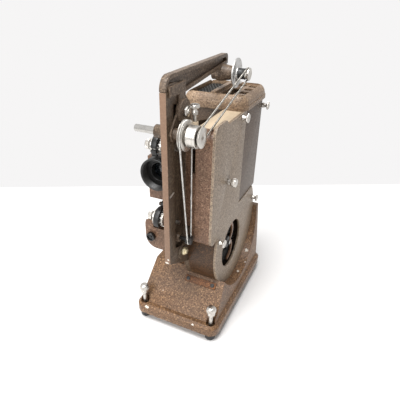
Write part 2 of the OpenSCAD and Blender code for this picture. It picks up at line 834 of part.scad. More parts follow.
module cap_knob() {
    color(nickel) on_head() translate([bar_x1 + cap_open_w / 2, knob_y, vent_z]) {
        cylinder(r = cap_knob_r - 1.5, h = cap_knob_h - 2);
        translate([0, 0, cap_knob_h / 2 - 0.5]) cylinder(r = cap_knob_r, h = cap_knob_h / 2 + 0.5);
    }
}

// Lamp and its optics
lamp_at = [film_x, lamp_y0 + 36];
socket_h = 26;
bulb_r = 11;
bulb_neck = 8;
bulb_l = 50;
mirror_r = 22;

module lamp_socket() {
    color(black) on_head() translate([lamp_at[0], lamp_at[1], lamp_floor + lamp_wall]) {
        cylinder(r = bulb_r, h = socket_h - 6);
        cylinder(r = bulb_r - 2, h = socket_h);
    }
}

module lamp_bulb() {
    z0 = lamp_floor + lamp_wall + socket_h;
    color("#e8eef0") on_head() translate([lamp_at[0], lamp_at[1], z0]) {
        cylinder(r = bulb_neck, h = bulb_neck);
        translate([0, 0, bulb_neck]) cylinder(r1 = bulb_neck, r2 = bulb_r, h = bulb_neck);
        translate([0, 0, 2 * bulb_neck]) cylinder(r = bulb_r, h = bulb_l);
        translate([0, 0, 2 * bulb_neck + bulb_l]) sphere(bulb_r);
    }
}

module lamp_reflector() {
    y1 = lamp_y1 - lamp_wall;
    color(nickel) on_head() difference() {
        y_bar(bulb_r - 0.5, y1 - bulb_neck, y1, film_x, lens_up);
        translate([film_x, y1 - mirror_r - 4, lens_up]) sphere(mirror_r);
    }
}

module condenser_tube() {
    color(enamel) on_head() difference() {
        y_bar(lens_r + 3, gate_y0 + 4, lamp_y0, film_x, lens_up);
        y_bar(lens_r, gate_y0, lamp_y0 + over, film_x, lens_up);
    }
}

module condenser_lens() {
    color("#dfeaf0") on_head() intersection() {
        y_bar(lens_r, lamp_y0 - 16, lamp_y0 - 6, film_x, lens_up);
        translate([film_x, lamp_y0 + 10, lens_up]) sphere(26);
    }
}

// Motor with its shaft and fan in the drum
motor_x0 = plate_x1 + shell;
fan_depth = 14;
motor_x1 = drum_x1 - fan_depth;
motor_r = 30;
fan_hub_r = 9;
fan_back = 1.5;
blade_t = 1.6;
fan_x0 = motor_x1 + 2;
fan_x1 = drum_x1 - 1;
fan_r = fan_open_r - 1.5;
blades = 12;

module motor() {
    color("#3a3836") on_head() difference() {
        union() {
            x_bar(motor_r, motor_x0, motor_x1 - 4, [motor_y, motor_z]);
            x_bar(motor_r * 0.6, motor_x0, motor_x1, [motor_y, motor_z]);
        }
        x_bar(shaft_r + run_gap, motor_x0 + 3, motor_x1 + over, [motor_y, motor_z]);
    }
}

module motor_shaft() {
    color(steel) on_head() x_bar(shaft_r, motor_x0 + 3 + air, fan_x1 + 2, [motor_y, motor_z]);
}

// Half of the curved strip across the fan
spider_w = 4;
spider_t = 2.5;

module spider_arm() {
    intersection() {
        translate([-fan_r / 2, 0]) difference() {
            circle(fan_r / 2);
            circle(fan_r / 2 - spider_w);
        }
        translate([-fan_r, 0]) square([fan_r, fan_r]);
    }
}

module fan() {
    color(black) on_head() translate([fan_x0, motor_y, motor_z]) rotate([0, 90, 0]) difference() {
        union() {
            cylinder(r = fan_r, h = fan_back);
            cylinder(r = fan_hub_r, h = fan_x1 - fan_x0);
            for (k = [0 : blades - 1])
                rotate([0, 0, 360 / blades * k]) translate([fan_hub_r - 1, -blade_t / 2, 0])
                    cube([fan_r - fan_hub_r, blade_t, fan_x1 - fan_x0 - 2]);
            for (side = [0, 1]) mirror([side, 0, 0]) translate([0, 0, fan_x1 - fan_x0 - spider_t])
                linear_extrude(spider_t) spider_arm();
        }
        translate([0, 0, -over]) cylinder(r = shaft_r, h = drum_w);
    }
}

// Front spindle with its belt wheel, clutch drum and end disc
front_at = [front_y, front_z];

module front_spindle() {
    color(steel) on_head() {
        x_bar(spindle_r, plate_x0 - spindle_out, front_shoulder + over, front_at);
        x_bar(journal_r, front_shoulder, groove_x1 + end_t / 2, front_at);
    }
}

module belt_wheel() {
    mid = wheel_w / 2;
    color(nickel) on_head() translate([wheel_x0, front_y, front_z]) rotate([0, 90, 0])
        rotate_extrude($fn = 96) polygon([[journal_r, 0], [wheel_r, 0], [wheel_r, 0.6],
            [wheel_r - wheel_groove, mid - 0.8], [wheel_r - wheel_groove, mid + 0.8],
            [wheel_r, wheel_w - 0.6], [wheel_r, wheel_w], [journal_r, wheel_w]]);
}

module clutch_drum() {
    color(nickel) on_head() difference() {
        union() {
            x_bar(clutch_r, clutch_x0, clutch_x1, front_at);
            x_bar(clutch_r - 3, wheel_x1, clutch_x0 + over, front_at);
        }
        x_bar(journal_r, wheel_x1 - over, clutch_x1 + over, front_at);
    }
}

module belt_groove() {
    color(black) on_head() difference() {
        x_bar(front_groove_r, clutch_x1, groove_x1, front_at);
        x_bar(journal_r, clutch_x1 - over, groove_x1 + over, front_at);
    }
}

module end_disc() {
    color(nickel) on_head() difference() {
        x_bar(clutch_r - 0.8, groove_x1, groove_x1 + end_t, front_at);
        x_bar(journal_r, groove_x1 - over, groove_x1 + end_t / 2, front_at);
        x_bar(spindle_r / 3, groove_x1, groove_x1 + end_t + over, front_at);
    }
}

// Small pulley that drives the front spindle
module drive_pulley() {
    w = wheel_w + 1.5;
    color(black) on_head() translate([lower_belt_x - w / 2, drive_y, drive_z]) rotate([0, 90, 0]) {
        rotate_extrude() polygon([[0, 0], [drive_flange_r, 0], [drive_flange_r, 1],
            [drive_groove_r, w / 2 - 1], [drive_groove_r, w / 2 + 1],
            [drive_flange_r, w - 1], [drive_flange_r, w], [0, w]]);
        translate([0, 0, plate_x0 - lower_belt_x + w / 2])
            cylinder(r = drive_shaft_r, h = lower_belt_x - plate_x0 - w / 2);
    }
}

// Round belt over two pulleys: its stations run round the arcs, and the straight runs join them
belt_steps = 20;
belt_sides = 10;

function arc_stations(at, r, a0, a1) =
    [for (k = [0 : belt_steps]) let(t = a0 + (a1 - a0) * k / belt_steps) [at + r * [cos(t), sin(t)], t]];

function belt_stations(a, ra, b, rb) =
    let(d = norm(b - a))
    let(along = atan2(b[1] - a[1], b[0] - a[0]))
    let(turn = acos((ra - rb) / d))
    concat(arc_stations(a, ra, along + turn, along + 360 - turn),
        arc_stations(b, rb, along - turn, along + turn));

function belt_ring(x, station) =
    [for (k = [0 : belt_sides - 1]) let(u = 360 / belt_sides * k)
        [x + belt_r * sin(u), station[0][0] + belt_r * cos(u) * cos(station[1]),
            station[0][1] + belt_r * cos(u) * sin(station[1])]];

module belt(x, a, ra, b, rb) {
    stations = belt_stations(a, ra, b, rb);
    n = len(stations);
    m = belt_sides;
    polyhedron(
        points = [for (st = stations) each belt_ring(x, st)],
        faces = [for (i = [0 : n - 1], j = [0 : m - 1])
            let(p = i * m + j, q = i * m + (j + 1) % m)
            let(p2 = (i + 1) % n * m + j, q2 = (i + 1) % n * m + (j + 1) % m)
            each [[p, q, q2], [p, q2, p2]]]);
}

module lower_belt() {
    color(steel) on_head() belt(lower_belt_x, front_at, wheel_belt_r, [drive_y, drive_z], drive_belt_r);
}

module upper_belt() {
    color(steel) on_head() belt(upper_belt_x, front_at, front_belt_r, [rear_y, rear_z], rear_belt_r);
}

// Spool arm: it swings up about the front spindle
boss_at = [front_y + 18.5, front_z + 18.5];
rear_at = [rear_y, rear_z];
arm_under = arm_top - arm_tail;
arm_rim = 4;
arm_fall = 10;
arm_block = 33;
arm_seam = 0.8;
block_z0 = front_z + 37;
block_z1 = front_z + 47;
tail_round = 6;
arm_notch = 14;
neck_w = 14;
rear_boss_l = boss_l + 4;
lug_r = bearing_r + 4;

module arm_outline(inset) {
    top = arm_top - inset;
    back = arm_back - inset;
    front = plate_y0 + inset;
    corner = arm_round - inset;
    difference() {
        union() {
            translate([front + corner, front_z]) square([back - front - corner - tail_round, top - front_z]);
            translate([front, front_z]) square([corner + over, top - front_z - corner]);
            translate([front + corner, top - corner]) circle(corner);
            translate([front + corner, front_z]) square([back - front - corner, top - front_z - tail_round]);
            translate([back - tail_round, top - tail_round]) circle(tail_round);
        }
        translate([front_y, front_z]) circle(seat_r + arm_seam + inset, $fn = 128);
        translate([plate_y0 - over, front_z - over]) square([2 * seat_r, seat_r * 0.7]);
        polygon([[front_y + seat_r - arm_notch, 0],
            [front_y + seat_r - arm_notch, arm_under - arm_fall + inset],
            [arm_back + over, arm_under + inset], [arm_back + over, 0]]);
    }
}

module spool_arm() {
    block_y0 = plate_y0 + 5;
    color(enamel) on_head() difference() {
        union() {
            side_slab(plate_x0, plate_x0 + web_t) arm_outline(0);
            side_slab(plate_x0, plate_x1) difference() {
                arm_outline(0);
                arm_outline(arm_rim);
            }
            x_bar(lug_r, plate_x0, plate_x1, rear_at);
            side_slab(plate_x0, plate_x1) translate([rear_y - lug_r, rear_z])
                square([2 * lug_r, arm_under - rear_z + over]);
            side_slab(leg_x0, leg_x1) hull() {
                translate(front_at) circle(bearing_r + 2.5, $fn = hull_fn);
                translate(boss_at) circle(arm_boss_r - 3, $fn = hull_fn);
            }
            x_bar(arm_boss_r, leg_x0, leg_x0 + arm_boss_l, boss_at);
            side_slab(leg_x0, leg_x1) {
                translate([block_y0, block_z0]) square([arm_block, block_z1 - block_z0]);
                translate([boss_at[0] - neck_w / 2, boss_at[1]]) square([neck_w, block_z1 - boss_at[1]]);
            }
            translate([plate_x0, block_y0, front_z + seat_r + arm_seam])
                cube([leg_x1 - plate_x0, arm_block, block_z1 - front_z - seat_r - arm_seam]);
            x_bar(bearing_r + 3, plate_x0 - rear_boss_out, plate_x0, rear_at);
            translate([plate_x1, rear_y, rear_z]) rotate([0, 90, 0])
                cylinder(r1 = lug_r, r2 = bearing_r + 1, h = rear_boss_l);
        }
        x_bar(bearing_r + run_gap, leg_x0 - over, leg_x1 + over, front_at);
        x_bar(journal_r + run_gap, plate_x0 - rear_boss_out - over, plate_x1 + rear_boss_l + over, rear_at);
    }
}

bolt_h = 3.6;

module arm_bolt() {
    color(nickel) on_head() translate([leg_x0 + arm_boss_l, boss_at[0], boss_at[1]]) rotate([0, 90, 0]) {
        cylinder(r = bolt_hex / 2, h = bolt_h, $fn = 6);
        cylinder(r = bolt_hex / 4, h = bolt_h + 1);
    }
}

// Rear spindle with its thin disc and grooved sheave
rear_disc_x = plate_x1 + rear_boss_l + air;
rear_disc_t = 2;

module rear_spindle() {
    color(steel) on_head() {
        x_bar(spindle_r, plate_x0 - spindle_out, rear_shoulder + over, rear_at);
        x_bar(journal_r, rear_shoulder, groove_x1 + 1, rear_at);
    }
}

module rear_disc() {
    color(nickel) on_head() difference() {
        union() {
            x_bar(rear_disc_r, rear_disc_x, rear_disc_x + rear_disc_t, rear_at);
            x_bar(rear_groove_r + rear_disc_t, rear_disc_x, upper_belt_x - groove_w / 2, rear_at);
        }
        x_bar(journal_r, rear_disc_x - over, groove_x1, rear_at);
    }
}

module rear_sheave() {
    color(nickel) on_head() difference() {
        union() {
            x_bar(rear_groove_r, upper_belt_x - groove_w / 2, groove_x1, rear_at);
            x_bar(rear_groove_r + rear_disc_t, groove_x1, groove_x1 + rear_disc_t, rear_at);
        }
        x_bar(journal_r, upper_belt_x - groove_w, groove_x1 + 1, rear_at);
    }
}

// Thumb screws: shank in its boss, neck and round head outside
module thumb_screw(at, face, neck, head_r, head_t) {
    color(nickel) on_head() {
        x_bar(screw_r, face - thread_l, face + neck, at);
        x_bar(screw_r + 0.9, face + air, face + neck, at);
        x_bar(head_r, face + neck, face + neck + head_t, at);
    }
}

module clutch_knob() {
    thumb_screw(clutch_at, cover_x1, 5, 5.5, 7);
}

// Framing screw: thumb screw of two discs, standing in the gear case's top
framing_r = 2;
framing_boss_r = 4;
framing_seat = ledge_z + 9;
framing_z0 = ledge_z - brow_r + 6;
framing_top = ledge_z + 27;

module framing_screw() {
    color(nickel) on_head() translate([framing_at[0], framing_at[1], 0]) {
        translate([0, 0, framing_z0]) cylinder(r = framing_r, h = framing_top - framing_z0);
        translate([0, 0, framing_top - 11]) cylinder(r = framing_r + 1.4, h = 4);
        translate([0, 0, framing_top - 4]) cylinder(r = framing_r + 3, h = 4);
    }
}

// Lens and gate
barrel_t = 2;
barrel_out = 3;
lens_t = 6;
lens_curve = 22;
mount_wall = 4;
mount_drop = 38;
mount_x0 = film_x - lens_r - mount_wall;
mount_z0 = lens_up - mount_drop;
mount_z1 = lens_up + lens_r + barrel_out;

module lens_mount() {
    color(enamel) on_head() difference() {
        translate([mount_x0, mount_y0, mount_z0])
            cube([plate_x0 - mount_x0, mount_d, mount_z1 - mount_z0]);
        y_bar(lens_r + run_gap, mount_y0 - over, mount_y1 + over, film_x, lens_up);
    }
}

module lens_barrel() {
    color(black) on_head() difference() {
        y_bar(lens_r, mount_y0 - barrel_out, mount_y1, film_x, lens_up);
        y_bar(lens_r - barrel_t, mount_y0 - barrel_out - over, mount_y1 + over, film_x, lens_up);
    }
}

module lens_hood() {
    y1 = mount_y0 - 1;
    color(black) on_head() difference() {
        y_bar(hood_r, y1 - hood_l, y1, film_x, lens_up);
        y_bar(hood_r - barrel_t, y1 - hood_l - over, y1 - barrel_t, film_x, lens_up);
        y_bar(lens_r, y1 - barrel_out, y1 + over, film_x, lens_up);
    }
}

module lens_glass() {
    y0 = mount_y0 + barrel_t;
    color("#9fb4c4") on_head() intersection() {
        y_bar(lens_r - barrel_t, y0, y0 + lens_t, film_x, lens_up);
        translate([film_x, y0 + lens_curve, lens_up]) sphere(lens_curve);
    }
}

gate_w = 24;
gate_t = 4;
gate_rise = 14;
frame_w = 6;
frame_h = 5;
track_w = 9;

module film_gate() {
    color(steel) on_head() difference() {
        translate([film_x - gate_w / 2, gate_y0, mount_z0])
            cube([plate_x0 - film_x + gate_w / 2, gate_t, mount_z1 - mount_z0 + gate_rise]);
        translate([film_x - frame_w / 2, gate_y0 - over, lens_up - frame_h / 2])
            cube([frame_w, gate_t + 2 * over, frame_h]);
        translate([film_x - track_w / 2, gate_y0 - over, mount_z0 - over])
            cube([track_w, over + 0.5, 2 * mount_z1]);
    }
}

// Sprockets with their shafts, knobs and keepers
film_relief = 1.5;
tooth_w = 1.2;
rail_w = 3;
keeper_gap = 0.6;
keeper_w = sprocket_w - 2 * rail_w - 2 * keeper_gap;

module sprocket(at) {
    color(nickel) on_head() translate([film_x - sprocket_w / 2, at[0], at[1]]) rotate([90, 0, 90]) {
        linear_extrude(sprocket_w) circle(sprocket_r - film_relief);
        for (px = [0, sprocket_w - rail_w]) translate([0, 0, px]) linear_extrude(rail_w) {
            circle(sprocket_r);
            for (k = [0 : sprocket_teeth - 1])
                rotate(360 / sprocket_teeth * k) translate([sprocket_r - 0.5, -tooth_w / 2])
                    square([tooth_h + 0.5, tooth_w]);
        }
    }
    color(steel) on_head() x_bar(shaft_r, film_x - sprocket_w / 2 - 2, plate_x1, at);
}

sprocket_knob_r = 6;

module sprocket_knob(at) {
    x1 = film_x - sprocket_w / 2 - 2;
    x0 = x1 - film_relief;
    color("#8f8d88") on_head() {
        x_bar(shaft_r + 1, x0, x1, at);
        x_bar(sprocket_knob_r, x0 - sprocket_knob_r, x0, at);
    }
}

module keeper(at, pin, a0, a1) {
    color(black) on_head() difference() {
        side_slab(film_x - keeper_w / 2, film_x + keeper_w / 2) difference() {
            union() {
                translate(at) intersection() {
                    circle(keeper_r + keeper_t);
                    wedge(4 * keeper_r, a0, a1);
                }
                translate(pin) circle(keeper_eye_r);
            }
            translate(at) circle(keeper_r);
        }
        x_bar(keeper_pin_r + run_gap, film_x - sprocket_w, film_x + sprocket_w, pin);
    }
}

// Fixed shoe under the upper sprocket, on a post from the plate
guide_from = 183;
guide_to = 222;

module upper_guide() {
    mid = keeper_r + keeper_t / 2;
    post_a = (guide_from + guide_to) / 2;
    color(black) on_head() {
        side_slab(film_x - keeper_w / 2, film_x + keeper_w / 2)
            translate([upper_y, upper_up]) intersection() {
            difference() {
                circle(keeper_r + keeper_t);
                circle(keeper_r);
            }
            wedge(4 * keeper_r, guide_from, guide_to);
        }
        x_bar(keeper_t / 3, film_x, plate_x0, [upper_y, upper_up] + mid * [cos(post_a), sin(post_a)]);
    }
}

// Lower housing on the film side with the speed knob
housing_round = 16;
switch_r = 6;
switch_t = 4.6;
stem_r = 2;

module lower_housing() {
    h = housing_z1 - housing_z0;
    round = housing_round;
    color(enamel) on_head() difference() {
        front_slab(housing_y0, housing_y0 + housing_d) intersection() {
            translate([plate_x0 - housing_out, housing_z0]) round_rect(housing_out + 2 * round, h, round);
            translate([plate_x0 - housing_out, housing_z0]) square([housing_out, h]);
        }
        x_bar(keeper_r + keeper_t + 1, film_x - sprocket_w / 2 - 1, film_x + sprocket_w / 2 + air,
            [lower_y, lower_up]);
        x_bar(sprocket_knob_r + 1, plate_x0 - housing_out - over, film_x, [lower_y, lower_up]);
        x_bar(shaft_r + run_gap, film_x, plate_x0 + over, [lower_y, lower_up]);
        x_bar(keeper_eye_r + 1, film_x - sprocket_w, film_x + sprocket_w / 2 + air, lower_pin);
        x_bar(keeper_pin_r, film_x, plate_x0 + over, lower_pin);
        y_bar(stem_r + run_gap, housing_y0 - over, housing_y0 + 2 * switch_r, knob_at[0], knob_at[1]);
    }
}

module switch_knob() {
    color(black) on_head() {
        y_bar(stem_r, housing_y0 - 3, housing_y0 + 2 * switch_r - 2, knob_at[0], knob_at[1]);
        difference() {
            y_bar(switch_r, housing_y0 - air - switch_t, housing_y0 - air, knob_at[0], knob_at[1]);
            y_bar(switch_r - 2, housing_y0 - air - switch_t - over, housing_y0 - 3, knob_at[0], knob_at[1]);
        }
    }
}

base_casting();
rear_feet();
clamp_strip();
strip_screws();
power_inlet();
foot_screw(-1);  // foot_screw_left
foot_pad(-1);  // foot_pad_left
foot_screw(1);  // foot_screw_right
foot_pad(1);  // foot_pad_right
motor_drum();
main_plate();
shaft_nut();
gear_case();
side_cover();
lamphouse();
lamphouse_cap();
cap_grille();
cap_knob();
lamp_socket();
lamp_bulb();
lamp_reflector();
condenser_tube();
condenser_lens();
motor();
motor_shaft();
fan();
front_spindle();
belt_wheel();
clutch_drum();
belt_groove();
end_disc();
drive_pulley();
lower_belt();
spool_arm();
arm_bolt();
upper_belt();
rear_spindle();
rear_disc();
rear_sheave();
thumb_screw(top_screw, cover_x1, 6, 5.5, 2.5);  // cover_screw_top
thumb_screw(front_screw, cover_x1, 6, 5.5, 2.5);  // cover_screw_front
thumb_screw(rear_screw, cover_x1, 6, 5, 2.5);  // cover_screw_rear
thumb_screw(house_screw, lamp_x1, 7, 5, 2.5);  // lamphouse_screw
clutch_knob();
framing_screw();
lens_mount();
lens_barrel();
lens_hood();
lens_glass();
film_gate();
sprocket([upper_y, upper_up]);  // upper_sprocket
sprocket_knob([upper_y, upper_up]);  // upper_sprocket_knob
keeper([upper_y, upper_up], upper_pin, 20, 175);  // upper_keeper
upper_guide();
sprocket([lower_y, lower_up]);  // lower_sprocket
sprocket_knob([lower_y, lower_up]);  // lower_sprocket_knob
keeper([lower_y, lower_up], lower_pin, 50, 215);  // lower_keeper
lower_housing();
switch_knob();
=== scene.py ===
# %% [markdown]
# # A table-top cine projector
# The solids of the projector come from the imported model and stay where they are. This lesson dresses
# them: it softens the cast edges, winds the spring belts, weaves the grille, turns the knobs and paints
# each finish with nodes. Everything is in metres, in the model's own frame: +Z up, -Y the way the lens
# points, +X the belt side.

# %% Load the frame
import json
import math

import bmesh
import bpy
from mathutils import Matrix, Vector


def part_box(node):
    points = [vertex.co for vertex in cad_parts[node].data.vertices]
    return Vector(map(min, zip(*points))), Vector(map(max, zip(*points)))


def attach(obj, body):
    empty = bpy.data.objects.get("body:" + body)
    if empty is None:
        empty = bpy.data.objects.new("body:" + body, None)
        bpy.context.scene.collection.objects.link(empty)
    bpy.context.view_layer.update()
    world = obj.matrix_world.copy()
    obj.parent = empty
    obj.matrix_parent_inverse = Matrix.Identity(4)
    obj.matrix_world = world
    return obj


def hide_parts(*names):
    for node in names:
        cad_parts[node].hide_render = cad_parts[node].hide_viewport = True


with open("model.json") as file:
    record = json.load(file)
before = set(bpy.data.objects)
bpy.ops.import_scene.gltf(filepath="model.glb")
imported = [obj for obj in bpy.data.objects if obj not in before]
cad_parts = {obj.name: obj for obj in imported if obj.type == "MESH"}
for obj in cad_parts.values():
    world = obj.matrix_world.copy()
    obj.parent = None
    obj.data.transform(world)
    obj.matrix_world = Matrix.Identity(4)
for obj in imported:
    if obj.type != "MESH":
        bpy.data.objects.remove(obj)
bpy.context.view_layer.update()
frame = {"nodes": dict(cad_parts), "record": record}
MM = 0.001
NODES = frame["nodes"]
BODY_OF = {n: b for b, names in frame["record"]["behaviour"]["bodies"].items() for n in names}
SLOT_OF = {s["node"]: s["material_slot"] for s in frame["record"]["subparts"]}
JOINT = {j["name"]: j for j in frame["record"]["behaviour"]["joints"]}

# %% [markdown]
# ## The camera
# The photograph looks down on the belt side from the front. Its straight edges give the camera: where
# it stood, how far it was turned and tilted, and how long its lens was. The object stands a little off
# the middle of the frame, so the lens is shifted instead of the camera being turned.

# %% Camera
FRAME_PX = 400
FOCAL_PX = 376.93
CENTRE_PX = (180, 235)
SENSOR_MM = 36
CAMERA_AT_MM = Vector((185.4, -432.7, 423.0))
YAW, PITCH, ROLL = (math.radians(a) for a in (27.2, 33.6, -0.5))

forward = Vector((-math.sin(YAW) * math.cos(PITCH), math.cos(YAW) * math.cos(PITCH), -math.sin(PITCH)))
level_right = Vector((math.cos(YAW), math.sin(YAW), 0))
level_down = forward.cross(level_right)
right = math.cos(ROLL) * level_right - math.sin(ROLL) * level_down
down = math.sin(ROLL) * level_right + math.cos(ROLL) * level_down

camera_data = bpy.data.cameras.new("camera")
camera_data.sensor_width = SENSOR_MM
camera_data.lens = FOCAL_PX / FRAME_PX * SENSOR_MM
camera_data.shift_x = (FRAME_PX / 2 - CENTRE_PX[0]) / FRAME_PX
camera_data.shift_y = (CENTRE_PX[1] - FRAME_PX / 2) / FRAME_PX
camera = bpy.data.objects.new("camera", camera_data)
bpy.context.scene.collection.objects.link(camera)
turn = Matrix((right, -down, -forward)).transposed().to_4x4()
camera.matrix_world = Matrix.Translation(CAMERA_AT_MM * MM) @ turn
bpy.context.scene.camera = camera
print("camera lens", round(camera_data.lens, 2), "mm")

# %% [markdown]
# ## Colours and nodes
# Colours are written as they look on a screen and turned to the linear values that shaders work in by
# one function. Another small function adds a node, sets it and links it, so that each finish below
# reads as a short list of steps.

# %% Colours and nodes
def linear(hex_code):
    """sRGB hex to the linear colour that the shaders work in."""
    parts = [int(hex_code[i:i + 2], 16) / 255 for i in (1, 3, 5)]
    return tuple(c / 12.92 if c <= 0.04045 else ((c + 0.055) / 1.055) ** 2.4 for c in parts) + (1,)


def add(tree, kind, settings=None, **links):
    """Adds a node. Settings are its properties. Links are values or sockets for its inputs, given by name or
    by number, as i0 and i1."""
    node = tree.nodes.new(kind)
    for key, value in (settings or {}).items():
        setattr(node, key, value)
    for key, value in links.items():
        numbered = key[0] == "i" and key[1:].isdigit()
        socket = node.inputs[int(key[1:])] if numbered else node.inputs[key.replace("_", " ")]
        if isinstance(value, bpy.types.NodeSocket):
            tree.links.new(value, socket)
        else:
            socket.default_value = value
    return node


def new_material(name):
    """A material with its shader and its object coordinates."""
    material = bpy.data.materials.new(name)
    material.use_nodes = True
    tree = material.node_tree
    shader = tree.nodes["Principled BSDF"]
    where = tree.nodes.new("ShaderNodeTexCoord").outputs["Object"]
    return material, tree, shader, where


# A Mix node that is set to colours has them on its inputs 6 and 7 and its output 2.
COLOUR_MIX = {"data_type": "RGBA"}
print("helpers ready")

# %% [markdown]
# ## Studio
# A white table top and an even, pale surround. The table ends a little behind the object, as in the
# photograph, and it keeps the soft shadow under the base. One large lamp hangs overhead, a little in
# front, and a weaker one fills the front. The camera sees the surround as white, and so do the glass and
# whatever shines, but it lights the object less.

# %% Floor, surround and lamps
FLOOR_SIZE = 12
TABLE_BEHIND = 0.39
SURROUND_LIGHT = 0.45
LAMPS_AIM = Vector((0, 0, 0.16))
PAPER_TONE = "#f7f6f5"
PAPER_ROUGH = 0.9
white = linear("#f6f5f5")

floor_mesh = bpy.data.meshes.new("floor")
away = Vector((-math.sin(YAW), math.cos(YAW), 0))
corners = [across * FLOOR_SIZE * level_right + back * away
           for across, back in ((-1, -FLOOR_SIZE), (1, -FLOOR_SIZE), (1, TABLE_BEHIND), (-1, TABLE_BEHIND))]
floor_mesh.from_pydata(corners, [], [(0, 1, 2, 3)])
floor = bpy.data.objects.new("floor", floor_mesh)
bpy.context.scene.collection.objects.link(floor)
floor_paint, _, shader, _ = new_material("floor_paper")
shader.inputs["Base Color"].default_value = linear(PAPER_TONE)
shader.inputs["Roughness"].default_value = PAPER_ROUGH
floor_mesh.materials.append(floor_paint)

world = bpy.data.worlds.new("studio")
bpy.context.scene.world = world
world.use_nodes = True
tree = world.node_tree
tree.nodes["Background"].inputs["Color"].default_value = white
tree.nodes["Background"].inputs["Strength"].default_value = SURROUND_LIGHT
rays = add(tree, "ShaderNodeLightPath")
straight_rays = add(tree, "ShaderNodeMath", {"operation": "MAXIMUM"}, i0=rays.outputs["Is Camera Ray"],
                    i1=rays.outputs["Is Transmission Ray"])
direct = add(tree, "ShaderNodeMath", {"operation": "MAXIMUM"}, i0=straight_rays.outputs[0],
             i1=rays.outputs["Is Glossy Ray"])
seen = add(tree, "ShaderNodeBackground", Color=white, Strength=1.0)
pick = add(tree, "ShaderNodeMixShader", Fac=direct.outputs[0],
           i1=tree.nodes["Background"].outputs[0], i2=seen.outputs[0])
tree.links.new(pick.outputs[0], tree.nodes["World Output"].inputs["Surface"])


def soft_lamp(name, at, size, power):
    """A square lamp that looks at the middle of the object."""
    data = bpy.data.lights.new(name, "AREA")
    data.size = size
    data.energy = power
    lamp = bpy.data.objects.new(name, data)
    lamp.location = at
    aim = LAMPS_AIM - Vector(at)
    lamp.rotation_euler = aim.to_track_quat("-Z", "Y").to_euler()
    bpy.context.scene.collection.objects.link(lamp)


soft_lamp("key_lamp", at=(-0.1, -0.45, 1.7), size=0.9, power=34)
soft_lamp("fill_lamp", at=(-0.4, -1.5, 1.0), size=1.0, power=14)
bpy.context.scene.view_settings.view_transform = "Standard"
print("studio ready")

# %% [markdown]
# ## Hammered enamel
# The castings wear a bronze-brown hammer finish. The paint dries into shallow cells about a millimetre
# wide and each cell has its own tone, so the surface glitters with fine pale and dark specks. A cell
# texture gives each speck its tone and its dimple. Slow noise gives the patches where the paint has
# darkened or reddened, a face can be painted paler as a painted highlight where the light falls on it,
# and a list of places gives the chips where the paint has come off to the pale metal. All of it follows
# the piece's own coordinates in real sizes, so no picture has to be wrapped round the castings.

# %% Chips
CHIP_TONE = "#d9d2c6"
CHIP_RAG_MM = 2.2
CHIP_RAG_SHARE, CHIP_FULL = 1.6, 1.45


def chipped(tree, where, paint, chips):
    """Pale chips round the listed places, given as (x, y, z, radius) in mm, with ragged edges."""
    ragged = add(tree, "ShaderNodeTexNoise", Vector=where, Scale=1 / (CHIP_RAG_MM * MM), Detail=3.0)
    for x, y, z, radius_mm in chips:
        radius = radius_mm * MM
        away = add(tree, "ShaderNodeVectorMath", {"operation": "DISTANCE"}, i0=where,
                   i1=(x * MM, y * MM, z * MM))
        torn = add(tree, "ShaderNodeMath", {"operation": "MULTIPLY_ADD"}, i0=ragged.outputs["Fac"],
                   i1=CHIP_RAG_SHARE * radius, i2=away.outputs["Value"])
        mask = add(tree, "ShaderNodeMapRange", Value=torn.outputs[0], From_Min=CHIP_FULL * radius,
                   From_Max=CHIP_RAG_SHARE * radius, To_Min=1.0, To_Max=0.0)
        chip = add(tree, "ShaderNodeMix", COLOUR_MIX, Factor=mask.outputs[0], i6=paint, i7=linear(CHIP_TONE))
        paint = chip.outputs[2]
    return paint


BASE_CHIPS = [(52, 67.3, 55.6, 3.6), (52.5, 27.7, 40.2, 2.4), (30.1, -94.9, 24.6, 2.2),
              (-43.6, -94.1, 25.4, 2.6), (-46.5, -94, 25.6, 2.4), (10, -60, 60, 0.9), (-30, -70, 45, 0.8),
              (56.6, 48.9, 45.3, 1.6)]
PLATE_CHIPS = [(1, -110, 134, 3.0), (3, -110, 140, 1.6)]
print("chips", len(BASE_CHIPS) + len(PLATE_CHIPS))

# %% Hammered enamel
# Real cells are about 1 mm wide. They are drawn a little coarser, so that they show at this distance.
CELL_MM = 1.5
GRAIN_MM = 1.2
PATCH_MM = 38
DIMPLE_MM = 0.25
SPECK_SHARE = 0.45
TONE_RANGE = {"From_Min": 0.3, "From_Max": 1.15}
TONE_STOPS = (0.0, 0.35, 0.65, 1.0)
PATCH_RANGE = {"From_Min": 0.42, "From_Max": 0.72}
DULLER, GLOSSIER = 0.1, 0.08
SPECULAR, COAT, COAT_ROUGH = 0.3, 0.06, 0.3


